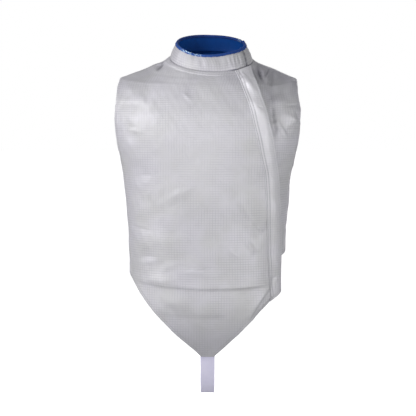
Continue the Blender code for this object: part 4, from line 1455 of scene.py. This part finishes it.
def makeCollar():
    turns, rises = np.meshgrid(collarTurns, collarRises)
    lift = collarLift(turns, rises)
    dip = collar["seamDip"] * np.exp(-((rises - collar["low"]) / collar["seamSoft"]) ** 2)
    endEdge = collarPoint(collarTurns[:1], collarRises, 0 * collarRises)
    fromEnd = nearestOn(collarPoint(turns, rises, lift), endEdge)
    groove = collar["endGroove"] * grooveAt(fromEnd, collar["endRow"])
    outer = collarPoint(turns, rises, lift - dip - groove)
    inner = collarPoint(turns, rises, lift - dip - collar["cloth"])
    uv = gridUv(outer, rowStart=len(collarRises) // 2)
    marks = {"seamShade": collarShade(turns, rises, fromEnd)}
    mesh = shell("collar_cloth", outer, inner, uv, metalCloth, liningCloth, marks)
    cloth = attach("collar_cloth", mesh, "metal_cloth", "collar")
    back = -collar["cloth"] - collar["gap"]
    raised = collar["liningRaise"] * smoothStep(math.radians(90), math.radians(60), turns)
    rises = rises + raised * (collar["high"] - rises) / (collar["high"] - collar["low"])
    outer = collarPoint(turns, rises, lift - dip + back)
    hem = collar["liningHem"] * smoothStep(0.20, 0.17, rises)
    inner = collarPoint(turns, rises, lift - dip + back - collar["lining"] - hem)
    mesh = shell("collar_lining_cloth", outer, inner, gridUv(inner), liningCloth, liningCloth)
    lining = attach("collar_lining_cloth", mesh, "lining", "collar_lining")
    ups = np.linspace(0.08, 0.84, 24)
    endTurns = np.full(24, collar["overEnd"] + (collarTurns[1] - collarTurns[0]) * 1.6)
    endLine = collarPoint(endTurns, ups, collarLift(endTurns, ups))
    stitchPaths["grey"].append((endLine, outFromNeck(endLine)))
    rowRises = np.full(len(collarTurns), collar["liningRow"])
    behind = back - collar["lining"] - 0.0004 + collarLift(collarTurns, rowRises)
    inside = collarPoint(collarTurns, rowRises, behind)
    stitchPaths["blue"].append((inside, -outFromNeck(inside)))
    print("collar_cloth and collar_lining_cloth are made")
    return cloth, lining


collarPiece, liningPiece = makeCollar()

braid = {
    # Rise and out of its outline, from its outer lower edge over the top and down the inside
    "outline": (
        (0.874, 0.0003), (0.861, 0.0006), (0.859, 0.0010), (0.870, 0.0013), (0.900, 0.00148),
        (0.950, 0.0015), (0.992, 0.0014), (1.016, 0.0009), (1.028, 0.0000), (1.032, -0.0010),
        (1.030, -0.0020), (1.018, -0.0030), (0.995, -0.0038), (0.950, -0.0041), (0.900, -0.0040),
        (0.870, -0.0038), (0.859, -0.0034), (0.863, -0.0030), (0.876, -0.0028), (0.980, -0.0028),
        (0.980, 0.0003),
    ),
    "middleOut": -0.0013,  # outs above that are on the outer side
    "lowEdge": (0.90, 0.87),  # below there its edges wander
    "wander": ((0.008, 0.61, 0), (0.006, 1.37, 1)),  # size, pace along the turn and start
    "corner": 0.0022,  # how much the outer end's corner stands up
    "notch": ((337, 2.2, -0.0024), (344, 3.5, 0.0012)),  # turn, width and rise, by the inner end
    "wear": ((104, 150, 1), (324, 338, -1)),  # turns between which pale flecks show, and the side
    # Turn in degrees and how much painted light brightens the braid there, most at the front, so that the
    # back stays darker
    "fade": (
        (20, 0.20), (70, 0.30), (95, 0.65), (110, 0.85), (150, 0.80), (175, 0.35), (200, 0.05),
        (330, 0.05), (380, 0.20),
    ),
    "row": 0.885,  # rise of its stitching
}


def makeBraid():
    rises, outs = (np.array(column)[None, :] for column in zip(*braid["outline"]))
    turns = collarTurns[:, None] + 0 * rises
    degrees = np.degrees(turns)
    wander = sum(size * np.sin(degrees * pace + start) for size, pace, start in braid["wander"])
    rises = rises + smoothStep(*braid["lowEdge"], rises) * wander
    outs = outs + np.sign(outs - braid["middleOut"]) * 0.00012 * np.sin(degrees * 0.93 + 3 * rises)
    points = collarPoint(turns, rises, outs + collarLift(turns, rises))
    points[..., 2] += braid["corner"] * smoothStep(33.5, 29, degrees)
    for place, width, rise in braid["notch"]:
        points[..., 2] += rise * np.exp(-((degrees - place) / width) ** 2) * (rises > 0.9)
    wear = np.zeros(turns.shape)
    for low, high, side in braid["wear"]:
        here = smoothStep(low, low + 6, degrees) * smoothStep(high, high - 6, degrees)
        wear = np.maximum(wear, here * ((outs + 0.0012) * side > 0))
    mesh = sweep("collar_binding_braid", points, bindingBraid)
    addMark(mesh, "wear", wear)
    addMark(mesh, "faded", np.interp(degrees, *zip(*braid["fade"])) + 0 * turns)
    piece = attach("collar_binding_braid", mesh, "binding", "collar_binding")
    row = braid["row"] + 0.006 * np.sin(np.degrees(collarTurns) * 0.61)
    line = collarPoint(collarTurns, row, 0.0014 + collarLift(collarTurns, row))
    stitchPaths["blue"].append((line, outFromNeck(line)))
    print("collar_binding_braid is made")
    return piece


braidPiece = makeBraid()

# The zip under the placket, closed, with its slider at the top

zipParts = {
    "seat": 0.0004,
    "tape": 0.0010,
    "right": (0.22, 0.468),  # each tape's edges, as parts across the closing
    "left": (0.532, 0.78),
    "tapeColumns": 8,
    "tapeSpacing": 0.0040,
    "toothPitch": 0.0024,
    "toothTop": -0.0004,
    "toothLength": 0.0014,
    "toothHalf": 0.0007,  # half its thickness
    # A tooth's narrow head at the middle and its wider foot on the tape: away from the middle, and
    # up as a part of half its length
    "toothOutline": (
        (-0.0005, 0.45), (0.0006, 0.62), (0.0012, 0.40), (0.0026, 0.70),
        (0.0026, -0.70), (0.0012, -0.40), (0.0006, -0.62), (-0.0005, -0.45),
    ),
    "low": -0.392,
    "high": -0.010,
    # Heights and half widths, as parts across the closing, of the slider and its pull
    "slider": (
        (-0.0385, 0.030), (-0.0382, 0.048), (-0.0372, 0.054), (-0.0350, 0.060), (-0.0320, 0.062),
        (-0.0300, 0.060), (-0.0288, 0.054), (-0.0279, 0.042), (-0.0276, 0.020),
    ),
    "pull": (
        (-0.0560, 0.015), (-0.0557, 0.032), (-0.0548, 0.040), (-0.0500, 0.042), (-0.0450, 0.038),
        (-0.0400, 0.030), (-0.0350, 0.028), (-0.0330, 0.026), (-0.0326, 0.015),
    ),
    "sliderThick": 0.0011,
    "pullThick": 0.0007,
    "pullOut": 0.0013,  # how far the pull's back lies before the slider's
    "bevel": 0.0003,
}


def makeTape(side, *nodes):
    columns = np.linspace(*zipParts[side], zipParts["tapeColumns"])
    turns, heights = panelPlaces(closingTurn, columns, leftFrontHem, spacing=zipParts["tapeSpacing"])
    base, normals = bodyPoint(turns, heights), bodyNormal(turns, heights)
    lift = surfaceLift(base, np.sin(turns) > 0) - edges["cloth"] - zipParts["seat"]
    outer = base + normals * lift[..., None]
    inner = base + normals * (lift - zipParts["tape"])[..., None]
    name = "zip_tape_" + side
    return attach(name, shell(name, outer, inner, gridUv(outer), zipTape, zipTape), "zip_tape", *nodes)


def makeTeeth():
    heights = evenHeights(zipParts["low"], zipParts["high"], zipParts["toothPitch"] / 2)[:, None]
    turns = closingTurn(np.full(heights.shape, 0.5), heights)
    normals = bodyNormal(turns, heights)[:, 0]
    centre = clothPoint(turns, heights, zipParts["toothTop"] - zipParts["toothHalf"])[:, 0]
    up = unit(np.gradient(centre, axis=0)) * zipParts["toothLength"] / 2
    side = unit(np.cross(up, normals))
    outline, size = zipParts["toothOutline"], len(zipParts["toothOutline"])
    vertices, faces = [], []
    for i, (point, upward, across, normal) in enumerate(zip(centre, up, side, normals)):
        hand = 1 if i % 2 else -1  # the teeth of the two tapes take turns
        start = len(vertices)
        for depth in (zipParts["toothHalf"], -zipParts["toothHalf"]):
            for away, tall in outline:
                vertices.append(point + across * hand * away + upward * tall + normal * depth)
        top = [start + k for k in range(size)]
        bottom = [start + size + k for k in range(size)]
        faces += [top[::hand], bottom[::-hand]]
        for k in range(size):
            n = (k + 1) % size
            faces.append([top[k], bottom[k], bottom[n], top[n]][::hand])
    mesh = newMesh("zip_teeth", np.array(vertices).tolist(), faces, zipPlastic, smooth=False)
    attach("zip_teeth", mesh, "zip_tape")


def makePlate(name, rows, thickness, low, *nodes):  # a bevelled metal plate on the closing
    bevel = zipParts["bevel"]
    heights = np.array([[height] * 9 for height, half in rows])
    parts = np.array([np.linspace(0.5 - half, 0.5 + half, 9) for height, half in rows])
    turns = closingTurn(parts, heights)
    rims = np.abs(np.linspace(-1, 1, 9)) ** 6 + 0 * heights
    rims[0] = rims[-1] = 1
    outer = clothPoint(turns, heights, low + thickness - bevel * rims)
    inner = clothPoint(turns, heights, low + bevel * rims)
    attach(name, shell(name, outer, inner, gridUv(outer), sliderMetal, sliderMetal), "slider_metal", *nodes)


tapePieces = (makeTape("right", "zip"), makeTape("left"))
makeTeeth()
sliderLow = zipParts["toothTop"] + 0.0003
makePlate("zip_slider_metal", zipParts["slider"], zipParts["sliderThick"], sliderLow, "zip_slider")
makePlate("zip_pull_metal", zipParts["pull"], zipParts["pullThick"], sliderLow + zipParts["pullOut"])
print("The zip and its slider are made")

# The crotch strap: from inside the tip of the V, down in a loop and up inside the back hem

strap = {
    "width": 0.0290,
    "cloth": 0.0015,
    "seat": 0.0008,
    "hold": 0.026,
    "lowest": -0.7000,
    "rearShift": 0.0025,
    "middle": (hems["tipRight"] + hems["tipLeft"]) / 2,
    "rib": 0.00010,
    "ribs": 9,
    "spacing": 0.0040,
    "cup": 0.0006,
    "waves": ((0.012, 31, 0), (0.008, 77, 1)),  # unevenness of its width: share, pace and start
}


def hangingCurve(start, end, lowest, count):  # a band that hangs between two points, as y and z
    dropStart, dropEnd = start[1] - lowest, end[1] - lowest
    small, large = 0.001, 1.0
    for _ in range(60):
        middle = (small + large) / 2
        reach = middle * (math.acosh(1 + dropStart / middle) + math.acosh(1 + dropEnd / middle))
        if reach < end[0] - start[0]:
            small = middle
        else:
            large = middle
    first, last = -math.acosh(1 + dropStart / middle), math.acosh(1 + dropEnd / middle)
    places = np.arcsinh(np.linspace(math.sinh(first), math.sinh(last), count))
    y, z = start[0] + middle * (places - first), lowest + middle * (np.cosh(places) - 1)
    return np.stack((y, z), axis=-1)


def strapPath():
    inside = edges["cloth"] + strap["seat"] + strap["cloth"] / 2
    tip, backLow = hems["tip"], float(backHem(0.0))

    def behind(quarters, heights):  # y and z behind the cloth at the middle of the front or back
        return clothPoint(np.full(heights.shape, quarters * math.pi / 2), heights, -inside)[:, 1:]

    top = behind(1, np.linspace(tip + strap["hold"], tip, 12))
    end = behind(3, np.linspace(backLow, backLow + strap["hold"], 12))
    start = behind(1, np.array([tip - 0.003]))[0]
    finish = behind(3, np.array([backLow - 0.003]))[0]
    return np.concatenate((top, hangingCurve(start, finish, strap["lowest"], 150), end))


def makeStrap():
    path = strapPath()
    lengths = lengthsAlong(path)
    count = int(lengths[-1] / strap["spacing"])
    places = np.linspace(0, lengths[-1], count)
    path = pointsAt(places, lengths, path)
    for _ in range(3):
        path[1:-1] = (path[:-2] + 2 * path[1:-1] + path[2:]) / 4
    along = unit(np.gradient(path, axis=0))
    normals = np.stack((np.zeros(count), -along[:, 1], along[:, 0]), axis=-1)[:, None]
    across = np.array(between((-1, -0.9, 0.9, 1), (3, 26, 3)))
    parts = places / lengths[-1]
    uneven = sum(share * np.sin(places * pace + start) for share, pace, start in strap["waves"])
    half = strap["width"] / 2 * (1 + uneven)
    drift = strap["rearShift"] * smoothStep(0.4, 0.9, parts)
    centre = np.stack((strap["middle"] + drift, path[:, 0], path[:, 1]), axis=-1)
    middle = centre[:, None] + (half[:, None] * across)[..., None] * (1, 0, 0)
    cup = strap["cup"] * np.sin(places * 23 + 1) * np.sin(math.pi * parts)
    cup = cup[:, None] * across ** 2
    thick = strap["cloth"] / 2 * (1 - 0.35 * np.abs(across) ** 8)
    thick = thick + strap["rib"] * np.cos(across * math.pi * strap["ribs"])
    outer = middle + normals * (cup + thick)[..., None]
    inner = middle + normals * (cup - thick)[..., None]
    uv = gridUv(middle, columnStart=len(across) // 2)
    mesh = shell("crotch_strap_band", outer, inner, uv, strapElastic, strapElastic, roundness=0.3)
    piece = attach("crotch_strap_band", mesh, "strap_elastic", "crotch_strap")
    print("crotch_strap_band is made, of metres", round(float(lengths[-1]), 3))
    return piece


strapPiece = makeStrap()

# Rows of stitching, each stitch a short rounded thread whose ends dip into the cloth

stitch = {
    "pitch": 0.0030, "length": 0.0023, "radius": 0.00021, "rise": 0.00006, "dip": 0.00034, "sides": 6,
    "rings": ((-1, 0.35), (-0.72, 0.95), (0, 1.0), (0.72, 0.95), (1, 0.35)),  # place and thickness
    "sideRadius": 0.14,
}


def neckRow(first, last, count, out):  # a row on the ridge below the collar
    turns = np.linspace(first, last, count)
    heights = np.linspace(0, -0.022, 90)
    down = bodyPoint(turns[:, None] + 0 * heights, heights + 0 * turns[:, None])
    lengths = np.cumsum(np.linalg.norm(np.diff(down, axis=1), axis=2), axis=1)
    lengths = np.concatenate((np.zeros((count, 1)), lengths), axis=1)
    level = np.array([np.interp(neckRidge["stitch"], row, heights) for row in lengths])
    return clothPoint(turns, level, out), bodyNormal(turns, level)


def sideRow(turnAt, low, high):  # a row beside a side seam
    heights = np.linspace(low, high, 80)
    turns = turnAt(heights)
    return clothPoint(turns, heights, 0.0), bodyNormal(turns, heights)


def boxRow(middleX, isFront, low, high, half):  # a rectangle with a cross, sewn through the strap's end
    corners = [(-half, low), (half, low), (half, high), (-half, high), (-half, low), (half, high)]
    points = np.array([np.array(corners[i]) * (1 - t) + np.array(corners[i + 1]) * t
                       for i in range(5) for t in np.linspace(0, 1, 12)[:-1]])
    x, heights = points[:, 0] + middleX, points[:, 1]
    across = (x - section["centre"](heights)) / halfWidth(heights, isFront)
    turns = np.arccos(np.sign(across) * np.abs(across) ** (section["square"](heights) / 2))
    turns = turns if isFront else 2 * math.pi - turns
    return clothPoint(turns, heights, 0.0), bodyNormal(turns, heights)


def addRows():
    grey = stitchPaths["grey"]
    sewnTop, freeTop = (float(closingTurn(part, np.array(-0.012))) for part in (0.0, 1.0))
    grey.append(neckRow(sewnTop + 0.03, 2 * math.pi - 0.01, 380, 0.0))
    grey.append(neckRow(0.01, freeTop - 0.03, 40, 0.0))
    grey.append(neckRow(freeTop + 0.02, sewnTop - 0.01, 24, 0.0034))
    inset = edges["seamStitch"] / stitch["sideRadius"]

    def rightSide(heights):
        return math.pi - sideTurn(heights, True) - inset

    def leftSide(heights):
        return sideTurn(heights, True) + inset

    for turnAt, hem in ((rightSide, hems["right"]), (leftSide, hems["left"])):
        grey.append(sideRow(turnAt, hem + 0.008, armhole["low"] - 0.010))
        grey.append(sideRow(turnAt, armhole["top"] + 0.006, -0.014))
    tip, backLow = hems["tip"], float(backHem(0.0))
    grey.append(boxRow(strap["middle"], True, tip + 0.004, tip + 0.022, 0.0085))
    backMiddle = strap["middle"] + strap["rearShift"]
    grey.append(boxRow(backMiddle, False, backLow + 0.010, backLow + 0.024, 0.0100))


def makeStitches(name, rows, material, slotName):
    dice = np.random.default_rng(3)
    sides = stitch["sides"]
    angles = np.arange(sides) * 2 * math.pi / sides
    vertices, faces, start = [], [], 0
    for points, normals in rows:
        lengths = lengthsAlong(points)
        count = int(lengths[-1] / stitch["pitch"])
        places = (np.arange(count) + 0.5) * lengths[-1] / max(count, 1)
        centre = pointsAt(places, lengths, points)
        along = unit(pointsAt(places + 0.001, lengths, points) - pointsAt(places - 0.001, lengths, points))
        normal = unit(pointsAt(places, lengths, normals))
        side = np.cross(normal, along)
        half = stitch["length"] / 2 * dice.uniform(0.9, 1.1, (count, 1))
        slant = dice.normal(0, 0.05, (count, 1))
        block = []
        for t, size in stitch["rings"]:
            rise = stitch["rise"] - stitch["dip"] * t * t
            middle = centre + (along + side * slant) * half * t + normal * rise
            radius = stitch["radius"] * size
            for angle in angles:
                block.append(middle + side * radius * math.cos(angle) + normal * radius * math.sin(angle))
        vertices += np.stack(block, axis=1).reshape(-1, 3).tolist()
        index = start + np.arange(count * len(block)).reshape(count, -1, sides)
        start = len(vertices)
        following = np.roll(index, -1, axis=2)
        walls = np.stack((index[:, :-1], following[:, :-1], following[:, 1:], index[:, 1:]), axis=-1)
        faces += walls.reshape(-1, 4).tolist() + index[:, 0, ::-1].tolist() + index[:, -1].tolist()
    attach(name, newMesh(name, vertices, faces, material), slotName)
    print(name, "is made, with faces", len(faces))


addRows()
makeStitches("seam_stitches", stitchPaths["grey"], greyThread, "metal_cloth")
makeStitches("braid_stitches", stitchPaths["blue"], blueThread, "binding")

# How the cloth was cut: width and length as cut, area, how it is held and what it lies on

onZip = ("zip_teeth", "zip_slider_metal", "zip_pull_metal")
sheets = (
    (frontPiece, 0.420, 0.702, 0.188, "hung", (), ("seam_stitches",)),
    (leftPiece, 0.176, 0.480, 0.042, "hung", (), ()),
    (backPiece, 0.476, 0.536, 0.197, "hung", (), ()),
    (placketPiece, 0.042, 0.510, 0.018, "laid", ("front_cloth", "left_front_cloth"), ()),
    (collarPiece, 0.516, 0.035, 0.017, "hung", (), ()),
    (liningPiece, 0.500, 0.034, 0.016, "laid", ("collar_cloth",), ()),
    (braidPiece, 0.476, 0.014, None, "folded", ("collar_cloth",), ("braid_stitches",)),
    (tapePieces[0], 0.0105, 0.430, None, "laid", ("front_cloth",), onZip),
    (tapePieces[1], 0.0115, 0.430, None, "laid", ("left_front_cloth",), ()),
    (strapPiece, 0.030, 0.495, None, "hung", (), ()),
)
for piece, width, length, area, held, under, others in sheets:
    made = sum(polygon.area for polygon in piece.data.polygons) / 2
    print(piece.name, "measures", round(made, 4), "square metres,", len(piece.data.polygons), "faces")
